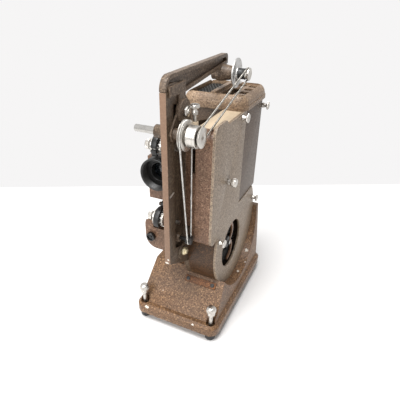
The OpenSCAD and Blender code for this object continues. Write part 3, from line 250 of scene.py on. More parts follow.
def hammered_enamel(name, tones, rough=0.42, dimple=0.35, patch=("#54402f", 0.45), chips=(), rubbed_and_lit=None):
    """A hammer-finish paint. tones run from the darkest specks to the palest. patch is a tone and its share.
    The last argument paints a face paler, a painted highlight where the light falls on it: the axis it
    faces along, the mm where the highlight starts and is full, its tone and its share."""
    material, tree, shader, where = new_material(name)
    cells = add(tree, "ShaderNodeTexVoronoi", Vector=where, Scale=1 / (CELL_MM * MM))
    speck = add(tree, "ShaderNodeSeparateColor", Color=cells.outputs["Color"])
    grain = add(tree, "ShaderNodeTexNoise", Vector=where, Scale=1 / (GRAIN_MM * MM), Detail=2.0)
    tone = add(tree, "ShaderNodeMath", {"operation": "MULTIPLY_ADD"}, i0=speck.outputs[0], i1=SPECK_SHARE,
               i2=grain.outputs["Fac"])
    shade = add(tree, "ShaderNodeMapRange", Value=tone.outputs[0], **TONE_RANGE)
    enamel = add(tree, "ShaderNodeValToRGB", Fac=shade.outputs[0])
    stops = enamel.color_ramp.elements
    while len(stops) < len(tones):
        stops.new(0.5)
    for stop, place, hex_code in zip(stops, TONE_STOPS, tones):
        stop.position = place
        stop.color = linear(hex_code)
    patch_tone, patch_share = patch
    clouds = add(tree, "ShaderNodeTexNoise", Vector=where, Scale=1 / (PATCH_MM * MM), Detail=3.0)
    slow = add(tree, "ShaderNodeMapRange", Value=clouds.outputs["Fac"], **PATCH_RANGE, To_Max=patch_share)
    patched = add(tree, "ShaderNodeMix", COLOUR_MIX, Factor=slow.outputs[0], i6=enamel.outputs["Color"],
                  i7=linear(patch_tone))
    paint = patched.outputs[2]
    # Painted highlight: past a given mm along one axis the paint turns paler, as on a face that the light
    # falls on.
    if rubbed_and_lit:
        axis, start, full, highlight_tone, share = rubbed_and_lit
        along = add(tree, "ShaderNodeSeparateXYZ", Vector=where)
        highlight_mask = add(tree, "ShaderNodeMapRange", Value=along.outputs[axis], From_Min=start * MM,
                   From_Max=full * MM, To_Max=share)
        worn_and_lit = add(tree, "ShaderNodeMix", COLOUR_MIX, Factor=highlight_mask.outputs[0], i6=paint, i7=linear(highlight_tone))
        paint = worn_and_lit.outputs[2]
    tree.links.new(chipped(tree, where, paint, chips), shader.inputs["Base Color"])
    bump = add(tree, "ShaderNodeBump", Strength=dimple, Distance=DIMPLE_MM * MM,
               Height=cells.outputs["Distance"])
    tree.links.new(bump.outputs[0], shader.inputs["Normal"])
    # The pale specks are smoother than the dark ones, so they glint.
    gloss = add(tree, "ShaderNodeMapRange", Value=tone.outputs[0], **TONE_RANGE, To_Min=rough + DULLER,
                To_Max=rough - GLOSSIER)
    tree.links.new(gloss.outputs[0], shader.inputs["Roughness"])
    shader.inputs["Specular IOR Level"].default_value = SPECULAR
    shader.inputs["Coat Weight"].default_value = COAT
    shader.inputs["Coat Roughness"].default_value = COAT_ROUGH
    return material


print("cells", CELL_MM, "mm wide")

# %% [markdown]
# ## The enamel of each casting
# All the castings were sprayed alike, but they do not look alike any more. The base is the warmest, the
# cover has faded to grey, the lamphouse has browned in its own heat, and the drum lies in shade. So one
# recipe is mixed again for each of them with its own four tones, from the darkest specks to the palest.

# %% Enamels
# Painted highlights, each given as the axis, the mm where it starts and is full, its tone and its share.
LEDGE_HIGHLIGHT = ("Z", 293.9, 294.4, "#dcc9ac", 0.8)
PLATE_FRONT_HIGHLIGHT = ("Y", -108.9, -109.6, "#9c7c66", 0.55)
# Warm bronze-brown with bright tan specks.
bronze = hammered_enamel("bronze_hammered_enamel", ("#342418", "#5e442f", "#7d5c40", "#c09c73"),
                         chips=BASE_CHIPS)
# Redder and quieter, with a cream ledge on top: a painted highlight where the light falls on it.
case_bronze = hammered_enamel("reddish_hammered_enamel", ("#37281d", "#624838", "#7a5c48", "#a88870"),
                              rubbed_and_lit=LEDGE_HIGHLIGHT)
# Dull olive brown, darkened as painted shade, for the plate's face lies deep in the gap by the case. It is
# paler along the front rim, a painted highlight where the front face meets the light.
plate_brown = hammered_enamel("shaded_olive_hammered_enamel", ("#2a2118", "#45382c", "#57493b", "#7d6b58"),
                              chips=PLATE_CHIPS, rubbed_and_lit=PLATE_FRONT_HIGHLIGHT)
# Greyish brown, between the plate and the cover.
arm_bronze = hammered_enamel("brown_hammered_enamel", ("#31271e", "#54463a", "#6b5b4c", "#968370"))
# Deep brown with few bright specks: painted shade, for the drum lies in shade under the case.
drum_brown = hammered_enamel("shaded_hammered_enamel", ("#1e130a", "#362413", "#48301c", "#765334"))
# Faded, almost grey, with faint patches.
cover_grey = hammered_enamel("worn_hammered_enamel", ("#51453a", "#7a6a5b", "#96846f", "#bda992"),
                             patch=("#857565", 0.3))
# Dark and even, browned by heat.
house_brown = hammered_enamel("dark_hammered_enamel", ("#352a21", "#4e4035", "#5e4f42", "#7e6d5b"))
# Pale tan with brown clouds.
cap_tan = hammered_enamel("tan_hammered_enamel", ("#4a3b2f", "#77624f", "#907860", "#b8a086"),
                          patch=("#6a5442", 0.5))
# Pale rounded edges that draw each casting's outline: thin, rubbed paint, and a painted highlight where the
# rounding catches the light.
edge_wear_and_highlight = hammered_enamel("rubbed_and_lit_enamel_edge", ("#6a5442", "#8d745e", "#a48b75", "#cdb69d"), dimple=0.2)
cover_edge_wear_and_highlight = hammered_enamel("rubbed_and_lit_cover_edge", ("#7d6f62", "#a09181", "#b3a493", "#cfc1af"), dimple=0.2)
print("enamels made, rubbed ledge from", LEDGE_HIGHLIGHT[1], "mm up")

# %% [markdown]
# ## Bright metal, black paint, rubber and glass
# The knobs and pulleys are nickel plate over turned brass: pale, a little uneven, with stains where
# fingers have rubbed. The feet are moulded rubber, the lens and keepers satin black, and the lower boss
# holds a brass nut with old cream paint on it.

# %% Metal, paint and glass
CLOUD_TIMES, PATCH_TIMES = 9, 14
NOISE_RANGE = {"From_Min": 0.3, "From_Max": 0.7}
STAIN_RANGE, STAIN_SHARE = {"From_Min": 0.52, "From_Max": 0.75}, 0.6
RUB_RANGE, RUB_SHARE = {"From_Min": 0.5, "From_Max": 0.75}, 0.5
METAL_BRIGHT, METAL_DULL = 0.08, 0.12
PAINT_BRIGHT, PAINT_DULL = 0.06, 0.1
SCRATCH_MM, GRAIN_DEEP_MM, SMEAR_MM = 0.08, 0.1, 6.0
SMEAR_CLEAN, SMEAR_FULL = 0.02, 0.07
CLEAR = 0.9


def plain_metal(name, hex_code, rough, stain="#8d867b", fine_mm=0.6, strength=0.1):
    """A metal with uneven polish and a few stains."""
    material, tree, shader, where = new_material(name)
    shader.inputs["Metallic"].default_value = 1
    cloud = add(tree, "ShaderNodeTexNoise", Vector=where, Scale=1 / (fine_mm * CLOUD_TIMES * MM), Detail=4.0)
    gloss = add(tree, "ShaderNodeMapRange", Value=cloud.outputs["Fac"], **NOISE_RANGE,
                To_Min=rough - METAL_BRIGHT, To_Max=rough + METAL_DULL)
    tree.links.new(gloss.outputs[0], shader.inputs["Roughness"])
    stained = add(tree, "ShaderNodeMapRange", Value=cloud.outputs["Fac"], **STAIN_RANGE, To_Max=STAIN_SHARE)
    metal = add(tree, "ShaderNodeMix", COLOUR_MIX, Factor=stained.outputs[0], i6=linear(hex_code),
                i7=linear(stain))
    tree.links.new(metal.outputs[2], shader.inputs["Base Color"])
    scratches = add(tree, "ShaderNodeTexNoise", Vector=where, Scale=1 / (fine_mm * MM), Detail=2.0)
    bump = add(tree, "ShaderNodeBump", Strength=strength, Distance=SCRATCH_MM * MM,
               Height=scratches.outputs["Fac"])
    tree.links.new(bump.outputs[0], shader.inputs["Normal"])
    return material


def plain_paint(name, hex_code, rough, worn_and_lit="#3a3733", grain_mm=0.8, strength=0.15):
    """A satin paint or moulding with a fine grain and rubbed patches."""
    material, tree, shader, where = new_material(name)
    grain = add(tree, "ShaderNodeTexNoise", Vector=where, Scale=1 / (grain_mm * MM), Detail=3.0)
    cloud = add(tree, "ShaderNodeTexNoise", Vector=where, Scale=1 / (grain_mm * PATCH_TIMES * MM), Detail=3.0)
    rubbed_and_lit = add(tree, "ShaderNodeMapRange", Value=cloud.outputs["Fac"], **RUB_RANGE, To_Max=RUB_SHARE)
    paint = add(tree, "ShaderNodeMix", COLOUR_MIX, Factor=rubbed_and_lit.outputs[0], i6=linear(hex_code),
                i7=linear(worn_and_lit))
    tree.links.new(paint.outputs[2], shader.inputs["Base Color"])
    gloss = add(tree, "ShaderNodeMapRange", Value=grain.outputs["Fac"], **NOISE_RANGE,
                To_Min=rough - PAINT_BRIGHT, To_Max=rough + PAINT_DULL)
    tree.links.new(gloss.outputs[0], shader.inputs["Roughness"])
    bump = add(tree, "ShaderNodeBump", Strength=strength, Distance=GRAIN_DEEP_MM * MM,
               Height=grain.outputs["Fac"])
    tree.links.new(bump.outputs[0], shader.inputs["Normal"])
    return material


def clear_glass(name, hex_code, ior):
    """Lamp and lens glass, a little smeared."""
    material, tree, shader, where = new_material(name)
    shader.inputs["Base Color"].default_value = linear(hex_code)
    shader.inputs["IOR"].default_value = ior
    shader.inputs["Transmission Weight"].default_value = CLEAR
    cloud = add(tree, "ShaderNodeTexNoise", Vector=where, Scale=1 / (SMEAR_MM * MM), Detail=2.0)
    smear = add(tree, "ShaderNodeMapRange", Value=cloud.outputs["Fac"], **NOISE_RANGE, To_Min=SMEAR_CLEAN,
                To_Max=SMEAR_FULL)
    tree.links.new(smear.outputs[0], shader.inputs["Roughness"])
    return material


print("stains", STAIN_SHARE, "strong at most")

# %% [markdown]
# ## A finish for each piece
# The record gives every piece a slot, and one finish serves all the pieces in a slot. A few pieces have
# aged in their own way, and some carry painted shade or a painted highlight, so a second list holds a
# finish just for them. Every solid is painted now, and the pieces that are made later ask for their
# finish by the name of the solid that they dress.

# %% Finishes
FINISH = {
    "hammered_enamel": bronze,
    "cover_enamel": cover_grey,
    "lamphouse_enamel": house_brown,
    # Nickel plate on turned brass: pale and a little warm, with dull stains.
    "nickel": plain_metal("nickel_plate", "#c6c2bc", 0.3),
    # Ground steel: greyer than the nickel.
    "steel": plain_metal("ground_steel", "#b5b3af", 0.32),
    # Drawn spring wire: each winding carries a thin bright line.
    "spring_steel": plain_metal("bright_spring_wire", "#d4d2ce", 0.35),
    # Brass with old cream paint on it: pale and dull.
    "brass": plain_metal("dull_brass", "#d2c6a6", 0.45, stain="#e6dfcc"),
    # Satin black paint: soft highlights and greyer rubbed patches.
    "black_paint": plain_paint("satin_black", "#121110", 0.4),
    # Moulded phenolic: the glossiest black.
    "bakelite": plain_paint("black_phenolic", "#0d0c0c", 0.25, worn_and_lit="#24211f"),
    # Moulded rubber: deep black with a broad shine.
    "rubber": plain_paint("moulded_rubber", "#0b0b0c", 0.42, worn_and_lit="#1b1b1c"),
    # Enamelled steel that has rusted through: red-brown and dull.
    "red_strip": hammered_enamel("rusted_strip", ("#2f1d13", "#5c3a22", "#7d4f2d", "#a2703f"), rough=0.55,
                                 patch=("#3a2618", 0.6)),
    # Blown glass is clear. The coated lens glass is dark from most sides.
    "lamp_glass": clear_glass("lamp_glass", "#f2f5f6", 1.5),
    "lens_glass": clear_glass("coated_glass", "#2c3238", 1.6),
}
OWN_FINISH = {
    "gear_case": case_bronze,
    "lower_housing": case_bronze,
    "lens_mount": case_bronze,
    "main_plate": plate_brown,
    "spool_arm": arm_bronze,
    "lamphouse_cap": cap_tan,
    "motor_drum": drum_brown,
    # Stove paint on expanded metal: grey where it has worn.
    "cap_grille": plain_paint("worn_grille_paint", "#3b3936", 0.5, worn_and_lit="#67635e"),
    # Oiled wire: darker and more stained than the lower belt.
    "upper_belt": plain_metal("oiled_spring_wire", "#a09c95", 0.4, stain="#45423e"),
    # Brushed nickel: a broad, even sheen.
    "rear_disc": plain_metal("brushed_nickel", "#c4c3c1", 0.38),
}


def finish_of(node):
    """A node's own finish, or else its slot's."""
    return OWN_FINISH.get(node, FINISH[SLOT_OF[node]])


for name, node in NODES.items():
    node.data.materials.clear()
    node.data.materials.append(finish_of(name))
print("finishes", len(FINISH) + len(OWN_FINISH))

# %% [markdown]
# ## Soft cast edges
# A casting has no sharp edge: the pattern's corners are rounded so that it leaves the sand, and the
# paint rounds them again. Each casting is copied from its solid, its loose triangles are joined to flat
# faces, and a bevel runs along every edge that turns by more than the facets of a curve do. Outer edges
# come first, and their bevel takes a second, paler paint: hands rub the enamel thin there, and the paler
# paint is also a painted highlight where the rounding catches the light.
# Inner corners then get a fillet in the casting's own paint.

# %% Soft edges
WELD_MM = 0.01
FLAT_DEG, CORNER_DEG = 1, 32


def mesh_object(name, mesh):
    """An object at the origin that holds the mesh."""
    obj = bpy.data.objects.new(name, mesh)
    bpy.context.scene.collection.objects.link(obj)
    return obj


def made(obj):
    """The modifiers' result as a plain mesh, with the modifiers gone."""
    bpy.context.view_layer.update()
    evaluated = obj.evaluated_get(bpy.context.evaluated_depsgraph_get())
    mesh = bpy.data.meshes.new_from_object(evaluated)
    obj.modifiers.clear()
    obj.data = mesh
    return obj


def rides_for(obj, node, smooth_deg=35, hides=True):
    """The piece rides where the node does. It hides the node unless it only adds to it."""
    obj.data.shade_smooth()
    obj.data.set_sharp_from_angle(angle=math.radians(smooth_deg))
    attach(obj, BODY_OF[node])
    if hides:
        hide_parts(node)


def soften(node, width_mm, edge=None, segments=3):
    """Copies a node and rounds its edges by a real radius."""
    obj = mesh_object(node + "_soft", NODES[node].data.copy())
    shape = bmesh.new()
    shape.from_mesh(obj.data)
    bmesh.ops.remove_doubles(shape, verts=shape.verts, dist=WELD_MM * MM)
    bmesh.ops.dissolve_limit(shape, angle_limit=math.radians(FLAT_DEG), verts=shape.verts, edges=shape.edges)
    weight = shape.edges.layers.float.new("bevel_weight_edge")
    for line in shape.edges:
        corner = len(line.link_faces) == 2 and line.calc_face_angle() > math.radians(CORNER_DEG)
        line[weight] = 1.0 if corner and line.is_convex else 0.0
    shape.to_mesh(obj.data)
    shape.free()
    obj.data.materials.clear()
    obj.data.materials.append(finish_of(node))
    for label, limit in (("outer_edge", "WEIGHT"), ("inner_corner", "ANGLE")):
        bevel = obj.modifiers.new(label, "BEVEL")
        bevel.width = width_mm * MM
        bevel.segments = segments
        bevel.limit_method = limit
        bevel.angle_limit = math.radians(CORNER_DEG)
        bevel.use_clamp_overlap = True
        # The outer bevel takes the paler edge paint: rubbed enamel with a painted highlight.
        if edge and limit == "WEIGHT":
            obj.data.materials.append(edge)
            bevel.material = 1
    made(obj)
    rides_for(obj, node)


print("edges that turn by more than", CORNER_DEG, "degrees are rounded")

# %% Castings and small pieces
# Each casting's radius in mm, and the paint of its edges: rubbed thin, with a painted highlight.
CASTINGS = {"base_casting": (2.2, edge_wear_and_highlight), "motor_drum": (0.8, None), "main_plate": (1.2, edge_wear_and_highlight),
            "gear_case": (1.6, edge_wear_and_highlight), "side_cover": (1.4, cover_edge_wear_and_highlight), "lamphouse": (0.8, edge_wear_and_highlight),
            "lamphouse_cap": (0.7, edge_wear_and_highlight), "spool_arm": (1.1, edge_wear_and_highlight), "lens_mount": (1.5, edge_wear_and_highlight),
            "lower_housing": (1.2, edge_wear_and_highlight)}
for name, (width, edge) in CASTINGS.items():
    soften(name, width, edge)
SMALL_EDGES = {"belt_wheel": 0.25, "arm_bolt": 0.5, "shaft_nut": 0.6, "clamp_strip": 0.5,
               "lens_barrel": 0.3, "power_inlet": 0.5, "film_gate": 0.3, "strip_screws": 0.2,
               "front_spindle": 0.5, "rear_spindle": 0.5, "drive_pulley": 0.3, "upper_keeper": 0.4,
               "lower_keeper": 0.4, "upper_guide": 0.4}
for name, width in SMALL_EDGES.items():
    soften(name, width, segments=2)
print("softened", len(CASTINGS) + len(SMALL_EDGES), "pieces")

# %% [markdown]
# ## Turned knobs, screws and discs
# Knobs and thumb screws are cut on a lathe, so one outline turned about an axis gives the whole piece:
# shank, waist, dished head and rounded rim. Each outline is a list of places along the axis and radii,
# in millimetres, and each axis comes from the joint that the piece turns on.

# %% Lathe
X, Y, Z = range(3)
LATHE_STEPS = 56


def axis_of(joint):
    """Where a joint's axis lies, in mm."""
    return [c / MM for c in JOINT[joint]["pos_m"]]


def middle_of(node):
    """The middle of a node's box, in mm."""
    low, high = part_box(node)
    return [(a + b) / 2 / MM for a, b in zip(low, high)]


def lathe(shape, axis, centre, outline, ring=False):
    """Turns an outline about a line along X, Y or Z. A ring joins the outline's end to its start and so makes
    a hollow piece."""
    others = [k for k in range(3) if k != axis]
    rows = []
    for along, radius in outline:
        row = []
        for step in range(LATHE_STEPS if radius > 0 else 1):
            angle = 2 * math.pi * step / LATHE_STEPS
            place = [0, 0, 0]
            place[axis] = along
            place[others[0]] = centre[others[0]] + radius * math.cos(angle)
            place[others[1]] = centre[others[1]] + radius * math.sin(angle)
            row.append(shape.verts.new(Vector(place) * MM))
        rows.append(row)
    pairs = list(zip(rows, rows[1:])) + ([(rows[-1], rows[0])] if ring else [])
    for near, far in pairs:
        for step in range(LATHE_STEPS):
            corners = [near[step % len(near)], near[(step + 1) % len(near)],
                       far[(step + 1) % len(far)], far[step % len(far)]]
            unique = list(dict.fromkeys(corners))
            if len(unique) > 2:
                shape.faces.new(unique)


def shape_object(name, shape, material):
    """A finished bmesh made an object and painted."""
    mesh = bpy.data.meshes.new(name)
    shape.to_mesh(mesh)
    shape.free()
    mesh.materials.append(material)
    return mesh_object(name, mesh)


def turned(node, axis, centres, outline, ring=False, added=None, slot=None):
    """A turned piece that stands for a node, at one centre or at several. A piece with a name of its own is
    added to what stands for the node."""
    shape = bmesh.new()
    for centre in centres:
        lathe(shape, axis, centre, outline, ring)
    bmesh.ops.recalc_face_normals(shape, faces=shape.faces)
    material = FINISH[slot] if slot else finish_of(node)
    obj = shape_object(added or node + "_turned", shape, material)
    rides_for(obj, node, hides=not added)


print("lathe ready,", LATHE_STEPS, "steps round")

# %% [markdown]
# ## Thumb screws and knobs
# Four thumb screws hold the cover and the lamphouse. They differ only in where they sit, how long the
# neck is and how wide the head is, so one outline takes those sizes. The clutch knob and the framing
# screw have outlines of their own.

# %% Thumb screws and knobs
def thumb_outline(shank_end, face, neck, rim, thick):
    """A thumb screw: shank, waisted neck and a dished disc with a small boss in it."""
    head = face + neck
    top = head + thick
    return [(shank_end, 0), (shank_end, 2.2), (shank_end + 0.4, 2.5), (face + 0.4, 2.5), (face + 0.4, 3.4),
            (face + 1.6, 3.4), (head - 1.6, 2.4), (head - 0.4, 2.7), (head, rim - 1.2),
            (head + 0.3, rim - 0.4), (head + 0.8, rim), (top - 0.7, rim), (top - 0.1, rim - 0.5),
            (top, rim - 1.0), (top - 0.5, rim - 1.7), (top - 0.9, rim - 2.2), (top - 0.9, 2.1),
            (top - 0.4, 1.7), (top - 0.2, 0)]


COVER_FACE, HOUSE_FACE = 45.5, 44.25
SHANK, HEAD_THICK = 11, 2.5
# Each thumb screw's seat, neck length and rim radius.
THUMB_SCREWS = {"cover_screw_top": (COVER_FACE, 6, 5.5), "cover_screw_front": (COVER_FACE, 6, 5.5),
                "cover_screw_rear": (COVER_FACE, 6, 5.0), "lamphouse_screw": (HOUSE_FACE, 7, 5.0)}
for node, (face, neck, rim) in THUMB_SCREWS.items():
    turned(node, X, [axis_of(node + "_turn")], thumb_outline(face - SHANK, face, neck, rim, HEAD_THICK))
turned("clutch_knob", X, [axis_of("clutch_knob_turn")],
       [(34.5, 0), (34.5, 2.5), (45.9, 2.5), (45.9, 3.4), (48, 3.4), (49, 2.6), (50.5, 2.6), (50.5, 4.4),
        (51, 5.1), (52, 5.4), (56, 5.4), (57, 4.9), (57.4, 4.0), (57.5, 3.0), (57.2, 2.6), (57.2, 0)])
turned("framing_screw", Z, [axis_of("framing_screw_turn")],
       [(282.5, 0), (282.5, 1.6), (283, 2), (310.5, 2), (310.5, 2.6), (311.2, 3.4), (313.8, 3.4),
        (314.5, 2.8), (316, 2.2), (317.5, 2.4), (317.5, 4.2), (318.2, 4.9), (320.6, 4.9), (321.3, 4.4),
        (321.5, 3.6), (321.5, 0)])
print("thumb screws", len(THUMB_SCREWS))

# %% [markdown]
# ## Feet
# The front feet are screws with a knurled head, and each stands in a round rubber pad. The rear feet
# are pads of the same kind, fixed straight to the base, so they share the outline up to its top. The
# small knob on the lamphouse cap is turned here as well.

# %% Feet and cap knob
FOOT_OUTLINE = [(6.5, 0), (6.5, 3), (40, 3), (40.5, 2.4), (45.8, 2.4), (45.8, 5.2), (46.3, 5.7), (49.9, 5.7),
                (50.4, 5.3), (50.7, 5.8), (51.3, 6.6), (52.2, 6.8), (55.2, 6.8), (57, 6.2), (58.5, 4.9),
                (59.2, 3.2), (59.4, 0)]
PAD_OUTLINE = [(0, 0), (0, 5.0), (0.4, 6.1), (1.4, 7.0), (2.8, 7.5), (8.8, 7.5), (10.4, 7.2), (11.4, 6.6),
               (12, 5.8), (12.1, 4.8), (12.1, 0)]
for side in ("left", "right"):
    turned("foot_screw_" + side, Z, [middle_of("foot_screw_" + side)], FOOT_OUTLINE)
    turned("foot_pad_" + side, Z, [middle_of("foot_pad_" + side)], PAD_OUTLINE)
low, high = (Vector(c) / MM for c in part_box("rear_feet"))
PAD_R = 7.5
turned("rear_feet", Z, [(x, (low.y + high.y) / 2, 0) for x in (low.x + PAD_R, high.x - PAD_R)],
       PAD_OUTLINE[:-2] + [(12.3, 5.4), (12.5, 4.6), (12.5, 0)])
turned("cap_knob", Z, [middle_of("cap_knob")],
       [(308.5, 0), (308.5, 2.5), (310.5, 2.4), (311.5, 3.0), (312, 3.8), (312.6, 4.0), (314, 4.0),
        (315, 3.4), (315.4, 2.2), (315.5, 0)])
print("feet turned, pads", 2 * PAD_R, "mm wide")

# %% [markdown]
# ## The spool drive
# The clutch drum, the discs and the sheave that drive the spools are lathe work too, about the axes of
# their spindles. The rear disc's hub is black, so it is a second piece on the same body. A small bright
# stop pin lies on the plate's rim, and a plain cylinder between two points is enough for it.

# %% Spool drive on the lathe
turned("clutch_drum", X, [axis_of("front_spin")],
       [(23, 0), (23, 8.4), (24.6, 8.4), (24.6, 10.9), (25.1, 11.5), (31.8, 11.5), (32.0, 11.2), (32.4, 11.2),
        (32.6, 11.5), (34.5, 11.5), (35, 11.0), (35, 0)])
turned("end_disc", X, [axis_of("front_spin")],
       [(38, 0), (38, 10.1), (38.3, 10.6), (39.2, 10.7), (39.6, 10.4), (39.8, 9.8), (39.8, 1.7), (39.6, 1.3),
        (38.8, 1.3), (38.8, 0)])
turned("rear_disc", X, [axis_of("rear_spin")],
       [(22, 0), (22, 16.8), (22.4, 17.5), (23.6, 17.5), (24, 17.1), (24, 16.2), (23.6, 15.6), (23.6, 9.2),
        (24.0, 8.4), (24.8, 7.9), (25.6, 7.9), (26, 7.4), (26, 0)])
turned("rear_disc", X, [axis_of("rear_spin")],
       [(26, 0), (26, 6.4), (26.6, 6.2), (33.4, 6.2), (34.2, 6.6), (35, 6.1), (35, 0)],
       added="rear_hub", slot="black_paint")
turned("rear_sheave", X, [axis_of("rear_spin")],
       [(35, 0), (35, 5.9), (35.3, 5.8), (36.1, 5.4), (36.9, 5.4), (37.8, 6.0), (38, 7.1), (38.4, 7.4),
        (39.6, 7.4), (39.9, 7.1), (40, 6.4), (39.6, 5.8), (39.6, 0)])
KNOB_OUTLINE = [(-37.5, 0), (-37.5, 4.6), (-37.2, 5.2), (-36.6, 5.6), (-32.3, 5.6), (-31.8, 5.2),
                (-31.5, 4.6), (-31.5, 4), (-30, 4), (-30, 0)]
for side in ("upper", "lower"):
    turned(side + "_sprocket_knob", X, [axis_of(side + "_sprocket_spin")], KNOB_OUTLINE)

PIN_START, PIN_END = Vector((5.6, -107.6, 225.0)), Vector((5.6, -97.5, 227.7))
PIN_R, PIN_SIDES = 1.0, 20
pin_along = PIN_END - PIN_START
pin_turn = pin_along.to_track_quat("Z", "Y").to_matrix().to_4x4()
pin_place = Matrix.Translation((PIN_START + PIN_END) / 2 * MM) @ pin_turn
pin = bmesh.new()
bmesh.ops.create_cone(pin, cap_ends=True, segments=PIN_SIDES, radius1=PIN_R * MM, radius2=PIN_R * MM,
                      depth=pin_along.length * MM, matrix=pin_place)
rides_for(shape_object("stop_pin", pin, FINISH["nickel"]), "main_plate", hides=False)
print("spool drive turned, stop pin", round(pin_along.length, 1), "mm long")

# %% [markdown]
# ## The lens hood and the switch knob
# Inside the hood run fine rings that keep stray light from the lens. They are part of the same turned
# outline, which here is closed on itself so that the hood is hollow.

# %% Hood and switch
RINGS, RING_STEP = 11, 0.9
RING_FIRST, RING_DEEP = -82.6, -83.0
RING_OUT, RING_IN = 17.4, 17.0
hood_rings = []
for k in range(RINGS):
    hood_rings += [(RING_FIRST - RING_STEP * k, RING_OUT), (RING_DEEP - RING_STEP * k, RING_IN)]
turned("lens_hood", Y, [middle_of("lens_hood")],
       [(-93, 18.2), (-93, 19.1), (-92.6, 19.5), (-90.6, 19.5), (-90.3, 19.2), (-89.9, 19.2), (-89.6, 19.5),
        (-80.4, 19.5), (-80, 19.1), (-80, 13.05), (-82, 13.05), (-82, 17.4)] + hood_rings, ring=True)
turned("switch_knob", Y, [axis_of("switch_turn")],
       [(-79, 0), (-79, 2), (-89.4, 2), (-89.4, 5.6), (-89.8, 6), (-93.3, 6), (-93.8, 5.6), (-94, 5.0),
        (-93.7, 4.3), (-92.2, 4.0), (-92.2, 1.8), (-92.9, 1.4), (-93.0, 0)])
print("hood with", RINGS, "rings")

# %% [markdown]
# ## Trees that repeat a shape
# Knurls, fan vanes, mesh strands and the windings of the belts repeat one small shape by a rule.
# Geometry Nodes do that well: each tree below has named inputs for its sizes, ends by making its
# instances real and painting them, and is then turned into a plain mesh that can ride on a body.

# %% Tree helpers
def new_tree(name, inputs):
    """A geometry tree with named inputs. Gives the tree, the input sockets and the modifier's identifiers."""
    tree = bpy.data.node_groups.new(name, "GeometryNodeTree")
    marks = {}
    for label, kind in inputs.items():
        socket = tree.interface.new_socket(name=label, in_out="INPUT", socket_type="NodeSocket" + kind)
        marks[label] = socket.identifier
    tree.interface.new_socket(name="Geometry", in_out="OUTPUT", socket_type="NodeSocketGeometry")
    source = tree.nodes.new("NodeGroupInput").outputs
    return tree, source, marks


def end_tree(tree, source, geometry):
    """Instances made real, painted and sent out."""
    real = add(tree, "GeometryNodeRealizeInstances", Geometry=geometry)
    painted = add(tree, "GeometryNodeSetMaterial", Geometry=real.outputs[0], Material=source["Material"])
    result = tree.nodes.new("NodeGroupOutput")
    tree.links.new(painted.outputs[0], result.inputs[0])


def set_round(tree, source, shape):
    """Ends a tree with a shape on every point of a circle, facing outwards. The ring is turned and put in
    place."""
    circle = add(tree, "GeometryNodeMeshCircle", Vertices=source["Count"], Radius=source["Radius"])
    place = add(tree, "GeometryNodeInputPosition")
    outward = add(tree, "FunctionNodeAlignEulerToVector", {"axis": "X", "pivot_axis": "Z"},
                  Vector=place.outputs[0])
    copies = add(tree, "GeometryNodeInstanceOnPoints", Points=circle.outputs[0], Instance=shape.outputs[0],
                 Rotation=outward.outputs[0])
    set_down = add(tree, "GeometryNodeTransform", Geometry=copies.outputs[0], Translation=source["Place"],
                   Rotation=source["Turn"])
    end_tree(tree, source, set_down.outputs[0])


def grown(name, tree, marks, values, start=None):
    """A plain mesh object grown by a tree."""
    obj = mesh_object(name, start or bpy.data.meshes.new(name))
    modifier = obj.modifiers.new("tree", "NODES")
    modifier.node_group = tree
    for label, value in values.items():
        modifier[marks[label]] = value
    return made(obj)


print("tree helpers ready")

# %% [markdown]
# ## Knurled rims
# Fingers need grip, so the rims of the knobs are knurled: small ridges stand round them. A four-sided
# bar is set on every point of a circle and turned outwards, so that one of its edges makes the ridge.

# %% Knurls
knurl, source, knurl_marks = new_tree("knurl", {"Count": "Int", "Radius": "Float", "Length": "Float",
                                                "Ridge": "Float", "Place": "Vector", "Turn": "Vector",
                                                "Material": "Material"})
bar = add(knurl, "GeometryNodeMeshCylinder", Vertices=4, Radius=source["Ridge"], Depth=source["Length"])
set_round(knurl, source, bar)
ALONG_X = (0, math.pi / 2, 0)
ALONG_Z = (0, 0, 0)


def knurled(node, count, radius, length, ridge, place, turn):
    """A ring of ridges on a knob's rim, in mm."""
    obj = grown(node + "_knurl", knurl, knurl_marks,
                {"Count": count, "Radius": radius * MM, "Length": length * MM, "Ridge": ridge * MM,
                 "Place": [c * MM for c in place], "Turn": turn, "Material": finish_of(node)})
    rides_for(obj, node, smooth_deg=20, hides=False)
    return len(obj.data.polygons)


def on_axis(joint, x):
    """The place at x along a joint that turns about X, in mm."""
    return [x] + axis_of(joint)[1:]


# The ridges are sunk a little into the rim, and sit at the middle of a thumb screw's head.
SUNK, HEAD_MIDDLE = 0.15, 1.3
ridges = 0
for node, (face, neck, rim) in THUMB_SCREWS.items():
    ridges += knurled(node, count=40, radius=rim - SUNK, length=1.1, ridge=0.3,
                      place=on_axis(node + "_turn", face + neck + HEAD_MIDDLE), turn=ALONG_X)
ridges += knurled("clutch_knob", count=44, radius=5.3, length=3.6, ridge=0.3,
                  place=on_axis("clutch_knob_turn", 54), turn=ALONG_X)
for side in ("upper", "lower"):
    ridges += knurled(side + "_sprocket_knob", count=32, radius=5.5, length=4.0, ridge=0.45,
                      place=on_axis(side + "_sprocket_spin", -34.4), turn=ALONG_X)
for side in ("left", "right"):
    x, y, _ = middle_of("foot_screw_" + side)
    ridges += knurled("foot_screw_" + side, count=52, radius=6.65, length=2.8, ridge=0.3, place=(x, y, 53.7),
                      turn=ALONG_Z)
x, y, _ = axis_of("framing_screw_turn")
ridges += knurled("framing_screw", count=36, radius=4.75, length=2.2, ridge=0.32, place=(x, y, 319.4),
                  turn=ALONG_Z)
print("knurl faces", ridges)

# %% [markdown]
# ## Wound spring belts
# The belts are long close-wound springs whose ends are hooked together. The path runs round two pulleys
# and along the straight runs between them. A tree walks along it and swings round it once a turn, and a
# thin round section follows that line, so each winding is there when the camera comes close.

# %% Belt tree
WIRE_MM, COIL_MM, PITCH_MM = 0.36, 0.74, 0.75
POINTS_A_TURN, WIRE_SIDES = 8, 5
ACROSS = (1, 0, 0)

